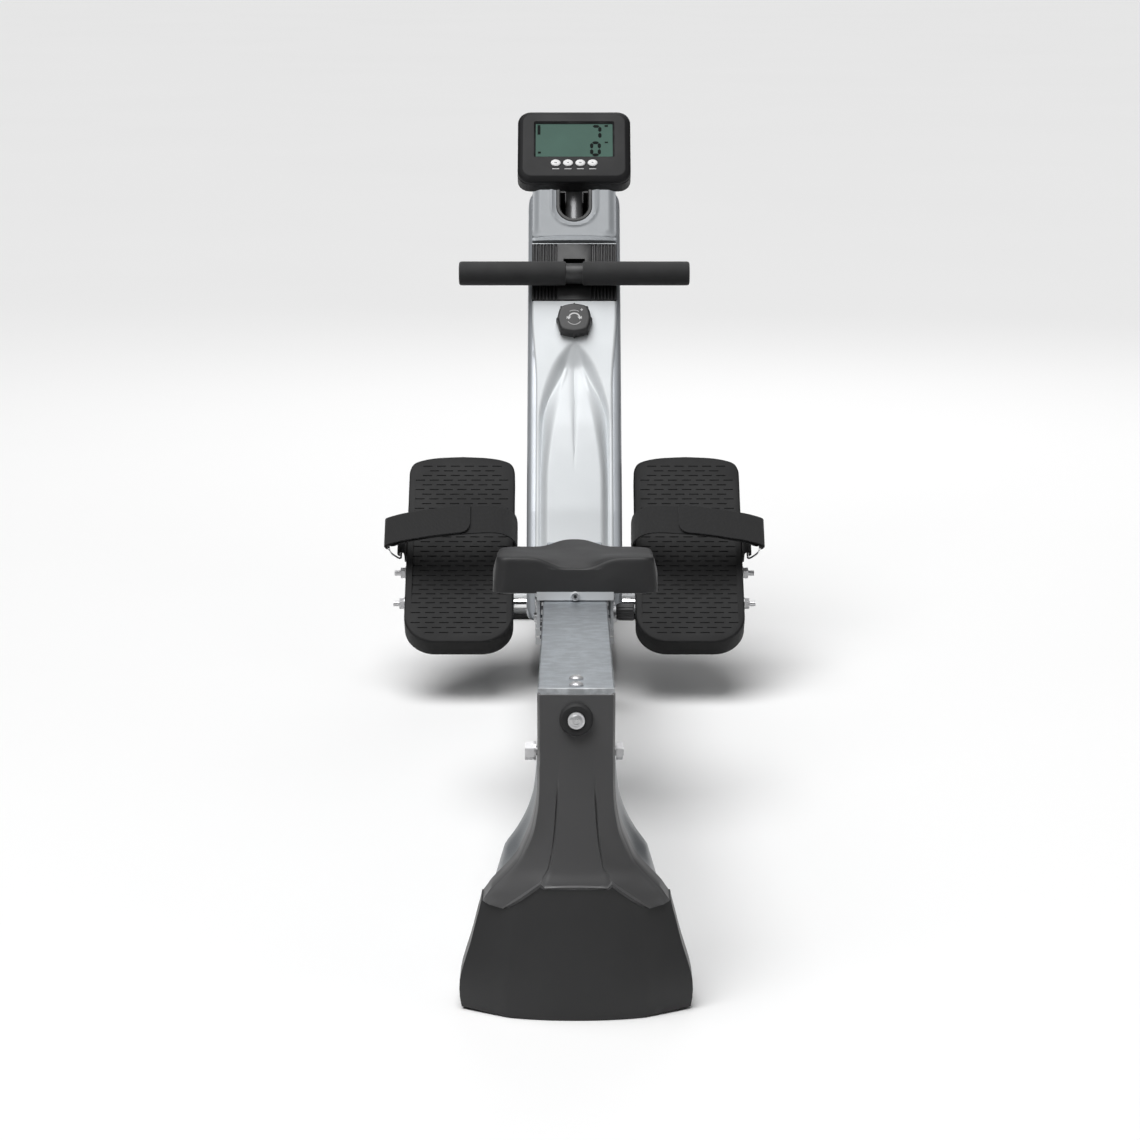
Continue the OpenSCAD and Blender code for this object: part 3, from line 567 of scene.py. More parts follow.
NODE_SLOT = {p["node"]: p["material_slot"] for p in frame["record"]["subparts"]}
NODE_BODY = {n: b for b, ns in frame["record"]["behaviour"]["bodies"].items() for n in ns}


def dress(obj, slot, body, *replaced, mat=None):
    """Gives a piece its finish, the body it rides on and the CAD nodes it stands for."""
    obj.data.materials.clear()
    obj.data.materials.append(mat or MATERIALS[slot])
    if body:
        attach(obj, body)
    if replaced:
        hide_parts(*replaced)
    return obj


def stand_in(obj, node):
    """The piece takes over a CAD node: its slot, its body and its place."""
    return dress(obj, NODE_SLOT[node], NODE_BODY[node], node)


def dress_cad_nodes():
    """Every carried-over node gets its material, and all but the plain shells, belt and leg covers get softened
    edges.
    """
    plain = ("housing_left_shell", "housing_right_shell", "drive_belt", "leg_rear_cover",
             "leg_front_cover")
    for name, obj in NODES.items():
        obj.data.materials.clear()
        obj.data.materials.append(MATERIALS[NODE_SLOT[name]])
        if name not in plain:
            soften(obj, 0.6)


# ---- seat ----
SEAT_U = 543
SEAT_W = 210
SEAT_D = 215
SEAT_LOW = 55
PAD_CAP = 1.6
VOXEL = 0.004
CLOTH_FRAMES = 20
CLOTH_PRESSURE = 4.0
CLOTH_STIFFNESS = 40


def seat_top(x, r):
    """Height of the pad's top at x mm, r from 0 at the front to 1 at the rear."""
    side = 90 + 11.8 * r - 1.5 * math.exp(-((abs(x) - 62) / 26) ** 2) * math.sin(math.pi * r)
    middle = 100.2 - 13.5 * r
    hump = math.exp(-abs(x / lerp(34, 36, r)) ** 2.8)
    return lerp(side, middle, hump)


def make_seat_pad():
    """A firm moulded pad: a raised nose in front, a dip behind, swollen a little by cloth."""
    w, d = SEAT_W / 2 - 3, SEAT_D / 2 - 3
    corners = (arc((w - 38, d - 38), 38, 0, 90, 12) + arc((38 - w, d - 38), 38, 90, 180, 12)
               + arc((15 - w, 15 - d), 15, 180, 270, 12) + arc((w - 15, 15 - d), 15, 270, 360, 12))
    outline = resample([Vector(q[:2]) for q in corners], 168)
    rows = []
    for low, grow in ((0, 2.2), (0.9, 3.0), (6, 2.9), (16, 1.9), (26, 0.9), (33, 0.2)):
        rows.append([(p.x * (1 + grow / 100), p.y * (1 + grow / 100), SEAT_LOW + low)
                     for p in outline])

    def top(f, drop):
        """A ring on the pad's top, shrunk by f and lowered by drop."""
        return [(p.x * f, p.y * f,
                 seat_top(p.x * f, min(1, max(0, 0.5 - p.y * f / SEAT_D))) - drop)
                for p in outline]
    for f, drop in ((0.997, 6.5), (0.992, 3.6), (0.982, 1.5), (0.966, 0.4)):
        rows.append(top(f, drop))
    for f in (0.945, 0.91, 0.87, 0.81, 0.74, 0.66, 0.57, 0.47, 0.37, 0.27, 0.17, 0.08, 0.02):
        rows.append(top(f, 0))
    at = RAIL @ Matrix.Translation((0, -SEAT_U * MM, 0))
    pad = loft("seat_cushion", rows, at)
    swell(pad, PAD_CAP * MM)
    subdivide(pad)
    stand_in(pad, "seat_pad")


def swell(obj, cap):
    """Lets an even cloth skin take up pressure, and moves the piece by what it did.

    The skin is remeshed so that the cloth is evenly dense, and the piece keeps its own mesh:
    each point moves as the skin nearest to it moved, by no more than the cap.
    """
    skin = placed("skin", obj.data.copy())
    m = skin.modifiers.new("remesh", "REMESH")
    m.mode = "VOXEL"
    m.voxel_size = VOXEL
    bake_modifiers(skin)
    before = [v.co.copy() for v in skin.data.vertices]
    cloth = skin.modifiers.new("cloth", "CLOTH")
    cloth.settings.use_pressure = True
    cloth.settings.uniform_pressure_force = CLOTH_PRESSURE
    cloth.settings.effector_weights.gravity = 0
    cloth.settings.tension_stiffness = CLOTH_STIFFNESS
    cloth.settings.compression_stiffness = CLOTH_STIFFNESS
    cloth.point_cache.frame_start = 1
    cloth.point_cache.frame_end = CLOTH_FRAMES
    scene = bpy.context.scene
    for f in range(1, CLOTH_FRAMES + 1):
        scene.frame_set(f)
    graph = bpy.context.evaluated_depsgraph_get()
    after = [v.co.copy() for v in skin.evaluated_get(graph).data.vertices]
    scene.frame_set(1)
    tree = KDTree(len(before))
    for i, co in enumerate(before):
        tree.insert(co, i)
    tree.balance()
    floor = min(co.z for co in before)
    for v in obj.data.vertices:
        near = tree.find_n(v.co, 6)
        move = sum(((after[i] - before[i]) for _, i, _ in near), Vector()) / len(near)
        if move.length > cap:
            move = move.normalized() * cap
        v.co += move * smooth(0.0, 0.012, v.co.z - floor)
    bpy.data.objects.remove(skin)


# ---- footrests ----
PEDAL_W = 160
PEDAL_L = 347
PEDAL_TOP = 28
HEEL_R = 46
HEEL_RISE = 6
DASH_L = 14.5
DASH_GAP = 6.5
DASH_ROW = 8.9
DASH_W = 2.4
DASH_DEPTH = 1.1
ROD_PLACES = ((st(1400), 0.131), (st(1443), 0.168))


def pedal_outline(d):
    """The footplate's outline moved in by d: round at the heel, gently arched at the toe."""
    w = PEDAL_W / 2 - d
    far = PEDAL_L - d
    toe = [(-w, far - 44), (-w + 0.6, far - 27), (-w + 6, far - 14), (-w + 19, far - 7),
           (-w + 42, far - 2.2), (0, far)]
    toe = smooth_path(toe, 3.2)
    toe = toe[:-1] + [Vector((-p.x, p.y)) for p in reversed(toe)]
    return (arc((-w + HEEL_R, HEEL_R + d), HEEL_R, 270, 180, 12) + toe
            + arc((w - HEEL_R, HEEL_R + d), HEEL_R, 360, 270, 12))


def dashes():
    """Cutters for the tread: rows of short grooves, every other row moved by half a pitch."""
    verts, faces = [], []
    pitch = DASH_L + DASH_GAP
    row = 0
    y = 16
    while y < PEDAL_L - 14:
        shift = pitch / 2 * (row % 2)
        for k in range(-5, 6):
            x = k * pitch + shift
            if abs(x) + DASH_L / 2 > edge_at(y) - 6:
                continue
            n = len(verts)
            for z, g in ((PEDAL_TOP - DASH_DEPTH, 0.7), (PEDAL_TOP + 4, 1.25)):
                for sx, sy in ((-1, -1), (1, -1), (1, 1), (-1, 1)):
                    verts.append((x + sx * (DASH_L / 2 + g - 1), y + sy * DASH_W / 2 * g, z))
            faces += [tuple(n + i for i in f) for f in
                      ((0, 3, 2, 1), (4, 5, 6, 7), (0, 1, 5, 4), (1, 2, 6, 5), (2, 3, 7, 6),
                       (3, 0, 4, 7))]
        y += DASH_ROW
        row += 1
    return piece("cutter", verts, faces)


def edge_at(y):
    """Half width of the flat tread at a distance from the heel."""
    w = PEDAL_W / 2
    if y < HEEL_R:
        return w - HEEL_R + math.sqrt(max(0, HEEL_R**2 - (HEEL_R - y) ** 2))
    if y > PEDAL_L - 30:
        return w - 14
    return w


def make_pedals():
    """Footplates with a grooved tread above and ribs below."""
    rows = [[(p.x, p.y, z) for p in pedal_outline(d)]
            for z, d in ((0, 0.6), (0.8, 0.0), (PEDAL_TOP - 3, 0), (PEDAL_TOP - 1.6, 0.35),
                         (PEDAL_TOP - 0.5, 1.3), (PEDAL_TOP, 2.8))]
    body = loft("pedal", rows)
    cut(body, loft("cutter", levels(pedal_outline(5), -1, PEDAL_TOP - 6)), dashes())
    for v in body.data.vertices:
        lift = smooth(0.35 * PEDAL_TOP, 0.8 * PEDAL_TOP, v.co.z / MM)
        v.co.z += HEEL_RISE * MM * smooth(118, 62, v.co.y / MM) * lift
    ribs = []
    for y in (60, 117, 200, 260):
        ribs.append(block(-PEDAL_W / 2 + 4, PEDAL_W / 2 - 4, y - 1.2, y + 1.2, 2, PEDAL_TOP - 5))
    for x in (-40, 0, 40):
        ribs.append(block(x - 1.2, x + 1.2, 5, PEDAL_L - 6, 2, PEDAL_TOP - 5))
    for side, name in SIDES:
        obj = placed(name + "_footplate", body.data.copy())
        obj.data.transform(FOOT[side])
        shade(obj, 28)
        stand_in(obj, name + "_pedal")
        lattice = placed(name + "_footplate_ribs", joined_mesh(ribs))
        lattice.data.transform(FOOT[side])
        soften(dress(lattice, "pedal_plastic", "frame"), 0.3)
        make_bosses(side, name)
    for r in ribs:
        bpy.data.objects.remove(r)
    bpy.data.objects.remove(body)


def joined_mesh(objs):
    """One mesh holding copies of several objects' meshes."""
    bm = bmesh.new()
    for o in objs:
        bm.from_mesh(o.data)
    mesh = bpy.data.meshes.new("joined")
    bm.to_mesh(mesh)
    bm.free()
    return mesh


def cross_rings(profile, y, z, n):
    """Rings about a line that runs across the row: profile is [x, radius] in mm."""
    return [[(x, y + r * math.cos(math.tau * k / n), z + r * math.sin(math.tau * k / n))
             for k in range(n)] for x, r in profile]


def tube(name, x0, x1, radius, bore, y, z, chamfer=0.6):
    """A tube across the row with chamfered rims, in mm."""
    profile = [(x0, bore), (x0, radius - chamfer), (x0 + chamfer, radius), (x1 - chamfer, radius),
               (x1, radius - chamfer), (x1, bore)]
    rings = cross_rings(profile, y, z, 32)
    return loft(name, rings + rings[:1], caps=False)


def make_bosses(side, name):
    """Tubes under the footplate that the cross rods pass through."""
    for i, (y, z) in enumerate(ROD_PLACES):
        x0, x1 = sorted((side * 90.5, side * 249.5))
        obj = tube(f"{name}_footplate_boss_{i + 1}", x0, x1, 9, 4.1, y / MM, z / MM)
        dress(obj, "pedal_plastic", "frame")


# ---- straps ----
WEB_V = (156, 206)
WEB_T = 2.4
RING_BOW = 7
STRAP_DROP = 6.5
RING_IN = (87.5, 33)
RING_OUT = (104, 62)


def smooth_path(points, step=3.0):
    """A rounded path through a few points, sampled every few millimetres."""
    pts = [Vector(p) for p in points]
    out = []
    for i in range(len(pts) - 1):
        p0, p1 = pts[max(i - 1, 0)], pts[i]
        p2, p3 = pts[i + 1], pts[min(i + 2, len(pts) - 1)]
        n = max(2, int((p2 - p1).length / step))
        for k in range(n):
            t = k / n
            out.append(0.5 * ((2 * p1) + (p2 - p0) * t + (2 * p0 - 5 * p1 + 4 * p2 - p3) * t * t
                              + (3 * p1 - 3 * p2 + p3 - p0) * t**3))
    out.append(pts[-1])
    return out


def make_straps():
    """Foot straps: web, loose tail, ring anchor, stitching and ring on each side."""
    under = [(-66, -1.6), (-76, -1.4), (-82, 1), (-83.6, 8), (-84, 30), (-84, 52), (-80, 70),
             (-68, 84), (-50, 90.5), (-20, 91.5), (10, 90), (40, 86), (62, 80), (82, 74),
             (96, 66)]
    loop = arc(RING_OUT, 5.1, 170, -60, 8)
    over = [(110, 62), (109, 67), (98, 73), (82, 79.5), (62, 84.6), (40, 90), (10, 94.2),
            (-16, 95.6)]
    anchor = [(81.4, 14), (81.8, 26)] + [tuple(p) for p in arc(RING_IN, 5.0, 180, -60, 8)]
    for side, name in SIDES:
        at = FOOT[side] @ Matrix.Diagonal((side, 1, 1, 1))
        main = band(name + "_strap_web", smooth_path(under) + loop[1:], *WEB_V, WEB_T, at,
                    drop=STRAP_DROP)
        stand_in(main, name + "_strap")
        tail = band(name + "_strap_tail", smooth_path(over), *WEB_V, WEB_T, at,
                    drop=STRAP_DROP)
        round_end(tail, at, over[-1][0])
        dress(tail, "webbing", "frame")
        tab = band(name + "_strap_anchor", anchor, WEB_V[0] + 2, WEB_V[1] - 3, 2.0, at)
        dress(tab, "webbing", "frame")
        for obj in (main, tail, tab):
            fix_normals(obj)
        make_stitches(name, at)
        make_ring(name, at)


def fix_normals(obj):
    """Turns every face outwards."""
    bm = bmesh.new()
    bm.from_mesh(obj.data)
    bmesh.ops.recalc_face_normals(bm, faces=bm.faces)
    bm.to_mesh(obj.data)
    bm.free()


def round_end(obj, at, x_end, radius=14):
    """Rounds the lower corner of the strap's free end."""
    back = at.inverted()
    for v in obj.data.vertices:
        p = back @ v.co
        x, y = p.x / MM, p.y / MM
        depth = x - x_end
        if depth < radius:
            rise = radius - math.sqrt(max(0, radius**2 - (radius - depth) ** 2))
            y = WEB_V[0] + (y - WEB_V[0]) * (1 - rise / 50) + rise
        p.y = y * MM
        v.co = at @ p


def make_stitches(name, at):
    """Box stitching where the webbing is sewn round the ring's anchor."""
    verts, faces = [], []
    for k in range(12):
        for y0 in (162, 200):
            z = 9 + k * 1.4
            n = len(verts)
            verts += [(83.2, y0 - 0.3, z), (83.2, y0 + 0.3, z), (83.2, y0 + 0.3, z + 0.9),
                      (83.2, y0 - 0.3, z + 0.9)]
            faces.append((n, n + 1, n + 2, n + 3))
    obj = piece(name + "_strap_stitches", verts, faces, at)
    thicken(obj, 0.5, 0)
    dress(obj, "webbing", "frame")


def make_ring(name, at):
    """A round-wire D loop through the strap and its anchor."""
    a, b = Vector(RING_IN), Vector(RING_OUT)
    d = (b - a).normalized()
    reach = (b - a).length
    v0, v1 = WEB_V[0] - 1, WEB_V[1] + 1
    flat = []
    for k in range(17):
        t = math.pi * k / 16
        u = reach / 2 * (1 - math.copysign(abs(math.cos(t)) ** 0.7, math.cos(t)))
        flat.append((u, v0 - RING_BOW * math.sin(t) ** 0.7))
    for k in range(17):
        t = math.pi * k / 16
        flat.append((reach / 2 + reach / 2 * math.cos(t), v1 + 4 * math.sin(t)))
    path = [(a.x + d.x * u, v - STRAP_DROP * u / reach, a.y + d.y * u) for u, v in flat]
    obj = wire(name + "_strap_ring", path, 1.4, at, closed=True)
    fix_normals(obj)
    stand_in(obj, name + "_ring")


# ---- rear leg ----
# Rear cover as [height, half width, station of the edge]
LEG_SIDE = [[3, 121.5, 42], [10, 123, 42], [34, 123, 42], [75, 111.3, 42], [117, 100, 42],
            [125, 94.8, 43], [133, 89.2, 43], [146, 77, 42], [155, 69, 40], [165, 61.6, 38],
            [182, 54, 36], [197, 48, 34], [213, 44.3, 32], [232, 41.5, 31], [262, 40.5, 30.5],
            [347, 40.5, 30]]
# Middle of the column above the base, as [height, station]
LEG_MIDDLE = [[122, 1], [146, 4.5], [160, 10], [180, 14.5], [205, 17.5], [240, 19.5], [343, 24]]
# Half width of the flat middle panel, as [height, half width]
LEG_PANEL = [[122, 33], [146, 32], [165, 27], [190, 22.5], [225, 19.5], [262, 18], [343, 17]]
LEG_TOP = 347
LEG_FRONT = 78
SHOULDER_HW = 100
BUMPER_Z = 0.322
RAIL_END = 1312  # from the fold axis to the end of the rail
# The creases beside the middle panel: their bounds as shares of the half width, and their depths
CREASE_FROM, CREASE_TO = 0.345, 0.372
CREASE = 0.5
GROOVE_W = 2.4
GROOVE = 1.3
OVERHANG = 3.4


def shoulder_z(x):
    """Height of the line between the base and the column at x mm."""
    a = abs(x)
    if a < 33:
        return 146 - 1.5 * (a / 33) ** 2
    if a < 37:
        return lerp(144.5, 149, (a - 33) / 4)
    if a < 77:
        return lerp(149, 116.5, (a - 37) / 40)
    return lerp(116.5, 119.5, (a - 77) / 22)


def leg_base_station(t, z):
    """The base: a bowed middle between two flatter flanks, undercut below the shoulder."""
    a = abs(t)
    middle = 30 * a ** 2.3
    flank = 30 * 0.6 ** 2.3 + (a - 0.6) * 74
    corner = 0.35 * (math.sqrt((flank - middle) ** 2 + 9) - 3)
    under = 5.5 * smooth(40, 150, z) + 1.5 * smooth(30, 3, z)
    return (max(middle, flank) if a > 0.6 else middle) - corner * (a > 0.6) + under


def column_station(x, z):
    """The column and wings: a middle panel between creases, and flanks falling back."""
    w, edge = along_table(LEG_SIDE, z)
    middle = along_table(LEG_MIDDLE, z)[0]
    panel = along_table(LEG_PANEL, z)[0]
    a = abs(x)
    if a <= panel:
        return middle + 0.6 * (a / panel) ** 2
    t = min(1, (a - panel) / max(1, w - panel))
    low = smooth(245, 150, z)
    straight = low * 0.78
    rim = smooth(0.90, 1.0, t)
    step = CREASE * min(1, (a - panel) / 1.6) * smooth(275, 235, z)
    bend = straight * t + (1 - straight) * rim
    return middle + 0.6 + step + (edge - middle - 0.6 - step) * bend


def make_leg_cover():
    """The black leg cover: a base drum, wings that overhang it, and a creased column coloured a lighter grey as
    painted light on its upper face.
    """
    low_rows, high_rows = 12, 44
    half = ([k * 0.033 for k in range(11)] + [CREASE_FROM, 0.358, CREASE_TO]
            + [CREASE_TO + k * 0.0398 for k in range(1, 11)]
            + [0.80, 0.84, 0.88, 0.92, 0.95, 0.975, 0.99, 1.0])
    ts = [-t for t in reversed(half[1:])] + half
    rows = []
    for r in range(low_rows + 1):
        ring = []
        for t in ts:
            top = shoulder_z(SHOULDER_HW * t) + 0.5
            z = lerp(3, top, r / low_rows)
            w = along_table(LEG_SIDE, min(z, 117))[0]
            bottom = 3 * (1 - abs(t) ** 2) * (1 if r == 0 else 0)
            ring.append((w * t, st(leg_base_station(t, z)) / MM, z - bottom))
        rows.append(ring)
    for r in range(high_rows + 1):
        ring = []
        v = r / high_rows
        for t in ts:
            a = abs(t)
            z = lerp(shoulder_z(SHOULDER_HW * t) + 0.2, LEG_TOP, v ** 1.35)
            w = along_table(LEG_SIDE, z)[0]
            panel = along_table(LEG_PANEL, z)[0]
            if a <= CREASE_FROM:
                x = panel * a / CREASE_FROM
            elif a <= CREASE_TO:
                x = panel + GROOVE_W * (a - CREASE_FROM) / (CREASE_TO - CREASE_FROM)
            else:
                x = lerp(panel + GROOVE_W, w, (a - CREASE_TO) / (1 - CREASE_TO))
            x = lerp(min(SHOULDER_HW * a, w), x, smooth(0, 0.16, v))
            y = column_station(x, z)
            if CREASE_FROM < a < CREASE_TO:
                y += GROOVE * smooth(0.0, 0.05, v) * smooth(270, 225, z)
            if r == 0:
                y = min(y, leg_base_station(t, z) - OVERHANG * (1 - a ** 8))
            ring.append((math.copysign(x, t), st(y) / MM, z))
        rows.append(ring)
    full = []
    back = st(LEG_FRONT) / MM
    for ring in rows:
        (x0, y0, z0), (x1, y1, z1) = ring[0], ring[-1]
        full.append([(x0, back, z0), (x0, (y0 + back) / 2, z0)] + ring
                    + [(x1, (y1 + back) / 2, z1), (x1, back, z1)])
    base = loft("leg_base_shell", full[:low_rows + 1], caps=False, closed=False)
    thicken(base, WALL)
    soften(base, 0.5, 2, 40)
    dress(base, NODE_SLOT["leg_rear_cover"], NODE_BODY["leg_rear_cover"])
    obj = loft("leg_rear_shell", full[low_rows + 1:], caps=False, closed=False)
    thicken(obj, WALL)
    cut(obj, block(-200, 200, -RAIL_END - 7.5, 400, -4.5, 400, RAIL))
    soften(obj, 0.5, 2, 40)
    stand_in(obj, "leg_rear_cover")
    # Painted light: the column takes a lighter grey, standing in for the light its upper face catches.
    obj.data.materials[0] = LEG_COLUMN_PAINTED_LIGHT


def make_leg_front():
    """The silver cover on the leg's far side, flared like wings behind the black one."""
    # [height, half width, station of the edge, station of the middle]
    rows_in = [[4, 121, 140, 150], [31, 120, 140, 150], [90, 97, 135, 144], [109, 90, 134, 143],
               [135, 82.5, 131, 140], [154, 77, 129, 138], [157, 75.5, 129, 138],
               [172, 65, 127, 134], [186, 57, 126, 132], [200, 51, 124, 130],
               [217, 46, 122, 128], [241, 43, 118, 124], [286, 41, 116, 122]]
    rows = []
    for r in range(57):
        z = lerp(4, 286, r / 56)
        w, edge, mid = along_table(rows_in, z)
        front = st(LEG_FRONT + 0.5) / MM
        near = min(w, along_table(LEG_SIDE, z)[0] - 0.5)
        side = []
        for k in range(9):
            x = lerp(near, w, smooth(0, 0.72, k / 8))
            side.append((x, front + (st(edge) / MM - front) * k / 8, z))
        face = []
        for k in range(1, 20):
            t = 1 - k / 10
            y = mid + (edge - mid) * abs(t) ** 2.4
            face.append((w * t, st(y) / MM, z))
        rows.append(side + face + [(-x, y, zz) for x, y, zz in reversed(side)])
    obj = loft("leg_front_shell", rows, caps=False, closed=False)
    thicken(obj, WALL)
    bake_modifiers(obj)
    shade(obj)
    soften(obj, 0.5, 2, 40)
    stand_in(obj, "leg_front_cover")


def make_bumper():
    """The rubber ring on the back of the leg, with its domed bolt."""
    profile = [(8.0, 5), (9.0, 1.2), (11, 0.2), (15.2, 0.2), (16.8, 1.4), (17.5, 3.4), (17.5, 8),
               (8.0, 8)]
    at = Matrix.Translation((0, st(15.5), BUMPER_Z))
    stand_in(turn("leg_bumper_ring", profile, at), "leg_bumper")
    dome = [(0.01, -1.2), (2.2, -1.2), (2.3, 1.2), (3.6, 1.2), (3.7, -0.9), (6.2, -0.2),
            (8.0, 1.6), (8.6, 3.4), (8.6, 5)]
    at = Matrix.Translation((0, st(13.8), BUMPER_Z))
    dress(turn("leg_bolt_dome", dome, at), "zinc", "rail")


def turn(name, profile, at, n=48):
    """A turned piece whose axis runs forward: profile is [radius, depth] in mm."""
    rings = [[(r * math.cos(math.tau * k / n), d, r * math.sin(math.tau * k / n))
              for k in range(n)] for r, d in profile]
    return loft(name, rings, at)


# ---- housing ----
HOUSING_HW = 71
OUTLINE = [(1372, 112), (1383, 165), (1440, 262), (1540, 407), (1622, 518), (1763, 706),
           (1822, 662), (1850, 560), (1856, 400), (1845, 240), (1815, 120), (1770, 66),
           (1600, 58)]
REST_LO, REST_HI = 40, 136
NECK_LO, NECK_HI = 140, 235
NECK_OPEN = 29
NECK_DEPTH = 70
MAST_GAP = 13.8
COVER_LOW = 207


def cover_half_width(z):
    """Half width of the front cover at a height: wide at its top, drawn in lower down."""
    return lerp(56.5, 63.2, smooth(430, 535, z))


def outline_ring(d, radius, per_edge=12):
    """The housing outline moved in by d, with the same number of points at any d."""
    corners = inset(OUTLINE, d)
    arcs = rounded(corners, radius, 5)
    out = []
    n = len(OUTLINE)
    for i in range(n):
        mine = arcs[i * 6:i * 6 + 6]
        out += mine
        a, b = mine[-1], arcs[(i + 1) % n * 6]
        out += [a.lerp(b, k / per_edge) for k in range(1, per_edge)]
    return out


def make_housing_shells():
    """The housing's halves, open at the front cover and round the mast."""
    per_edge = 12
    n_face = 6 + per_edge - 1
    # Across the shell's edge, as [distance in from the outline, distance in from the side]
    roll = [(0.01, 16), (0.3, 11), (1.2, 7), (3, 3.8), (6.5, 1.6), (11, 0.4), (16, 0)]
    rings = [outline_ring(d, lerp(10, 14, d / 16), per_edge) for d, _ in roll]
    for side, name in SIDES:
        rows = []
        inner = []
        for i, p in enumerate(rings[0]):
            on_face = n_face <= i < n_face * 5 + 3
            if on_face and p.y > 540:
                x = 65.2
            elif on_face and p.y > COVER_LOW - 2:
                x = cover_half_width(p.y) + 0.4
            elif on_face:
                x = 58
            else:
                x = 0.2
            local = FACE.inverted() @ Vector((0, st(p.x), p.y * MM)) / MM
            if local.y > NECK_LO and local.z > -NECK_DEPTH:
                x = max(x, NECK_OPEN)
            inner.append((side * min(x, HOUSING_HW - 6), st(p.x) / MM, p.y))
        rows.append(inner)
        for k, ((d, back), ring) in enumerate(zip(roll, rings)):
            rows.append([(side * max(HOUSING_HW - back, abs(edge[0]) + 0.1 * (k + 1)),
                          st(p.x) / MM, p.y) for p, edge in zip(ring, inner)])
        verts = [p for r in rows for p in r]
        n = len(inner)
        faces = ring_faces(len(rows), n, True)
        faces.append(tuple((len(rows) - 1) * n + i for i in range(n)))
        obj = piece(name + "_housing_shell", verts, faces)
        fix_normals(obj)
        thicken(obj, WALL)
        fork = block(-58, 58, st(1340) / MM, st(1500) / MM, 40, 205)
        beam = block(-31, 31, st(1475) / MM, st(1900) / MM, 40, 106)
        post = block(-31, 31, st(1786) / MM, st(1900) / MM, 100, 172)
        cut(obj, fork, beam, post)
        soften(obj, 0.4, 2, 50)
        stand_in(obj, f"housing_{name}_shell")


BOW_HW = 55.5
BOW_LENGTH = 150
PEAK = 32
SCOOP = 11
BODY_RISE = 20


def bow_half_width(s):
    """Half width of the raised bow, s mm below its peak."""
    if s <= 0:
        return 0.01
    if s >= BOW_LENGTH:
        return BOW_HW
    return BOW_HW * (1 - (1 - s / BOW_LENGTH) ** 2) ** 0.62


def bow_height(x, s):
    """How far the bow stands off the cover at x mm, s mm below its peak.

    A sharp arch drops into a scoop under the peak, and a long convex body rises out of it.
    """
    if s <= 0:
        return 0.0
    t = abs(x) / bow_half_width(s)
    bank = smooth(1.0, lerp(0.35, 0.86, smooth(20, 130, s)), t)
    scoop = -SCOOP * smooth(-6, 42, s) * bank * lerp(1, 0.45, smooth(60, 300, s))
    share = smooth(0.96, lerp(0.30, 0.68, smooth(40, 240, s)), t)
    body = BODY_RISE * smooth(34, 150, s) * lerp(1, 0.68, smooth(150, 330, s)) * share
    crown = -1.4 * min(1, t) ** 2
    crease = 2.6 * math.exp(-abs(x / lerp(6.0, 1.2, smooth(20, 200, s))) ** 1.4)
    crease *= smooth(20, 50, s) * (1 - smooth(140, 225, s))
    streak = 1.0 * math.exp(-((abs(x) - lerp(12, 24, smooth(30, 95, s))) / 2.2) ** 2)
    streak *= smooth(30, 46, s) * (1 - smooth(66, 96, s))
    return scoop + body + crown * share - crease + streak


def make_front_cover():
    """The silver cover on the rower's side, with the raised bow below the knob."""
    # The cover's path on the rower's side, from its top edge down, as [station, height]
    top = FACE @ Vector((0, (REST_LO - 2) * MM, 0))
    start = (top.y / MM + LENGTH_MM / 2, top.z / MM)
    corner = [start, (1622, 518), (1540, 407), (1440, 262), (1408, 207.5)]
    path = []
    for i in range(len(corner) - 1):
        a, b = Vector(corner[i]), Vector(corner[i + 1])
        n = max(3, int((b - a).length / 3.2))
        path += [a.lerp(b, k / n) for k in range(n)]
    path.append(Vector(corner[-1]))
    for _ in range(6):
        path = ([path[0]] + [(path[i - 1] + path[i] * 2 + path[i + 1]) / 4
                             for i in range(1, len(path) - 1)] + [path[-1]])
    peak = PEAK + REST_LO
    across = 52
    rows, s = [], 0.0
    for i, p in enumerate(path):
        if i:
            s += (p - path[i - 1]).length
        d = (path[min(i + 1, len(path) - 1)] - path[max(i - 1, 0)]).normalized()
        normal = Vector((d.y, -d.x))
        normal = normal if normal.x < 0 else -normal
        hw = cover_half_width(p.y) - 0.4
        ring = []
        for k in range(-across, across + 1):
            t = k / across
            x = hw * (0.35 * t + 0.65 * math.sin(t * math.pi / 2))
            h = bow_height(x, s - peak) - 1.6 * smooth(hw - 2.2, hw, abs(x)) ** 2
            q = p + normal * h
            ring.append((x, st(q.x) / MM, q.y))
        rows.append(ring)
    obj = loft("housing_front_panel", rows, caps=False, closed=False)
    subdivide(obj)
    thicken(obj, WALL)
    stand_in(obj, "housing_front_cover")


CHANNEL_HW = 27.5
RIB_PITCH = 5.3
PULL_STRAP_W = 25
PULL_STRAP_T = 1.6
NECK_HW = 64.6


def make_handle_rest():
    """The ribbed black rest behind the handle, with a smooth channel down its middle."""
    profile = []
    x = -NECK_HW
    while x < -CHANNEL_HW:
        profile += [(x, 0.4), (x + 0.3, 4.0), (x + 0.8, 4.5), (x + 2.2, 4.5), (x + 2.7, 4.0),
                    (x + 3.1, 0.4)]
        x += RIB_PITCH
    half = [p for p in profile if p[0] < -CHANNEL_HW] + [(-27.2, 0.4), (-26.6, 3.2), (-25.8, 3.7)]
    xs = half + [(-p[0], p[1]) for p in reversed(half)]
    rows = [[(a, y, b) for a, b in xs] for y in (REST_LO, REST_HI + 2)]
    obj = loft("handle_rest_pad", rows, FACE, caps=False, closed=False)
    thicken(obj, 3.6)
    slot_hw = PULL_STRAP_W / 2 + 4
    cut(obj, block(-slot_hw, slot_hw, 78, 112, -12, 12, FACE))
    soften(obj, 0.25, 2, 40)
    stand_in(obj, "handle_rest")


SLOT_HW = 26
SLOT_Y = 206
LIP_Y = NECK_LO + 10


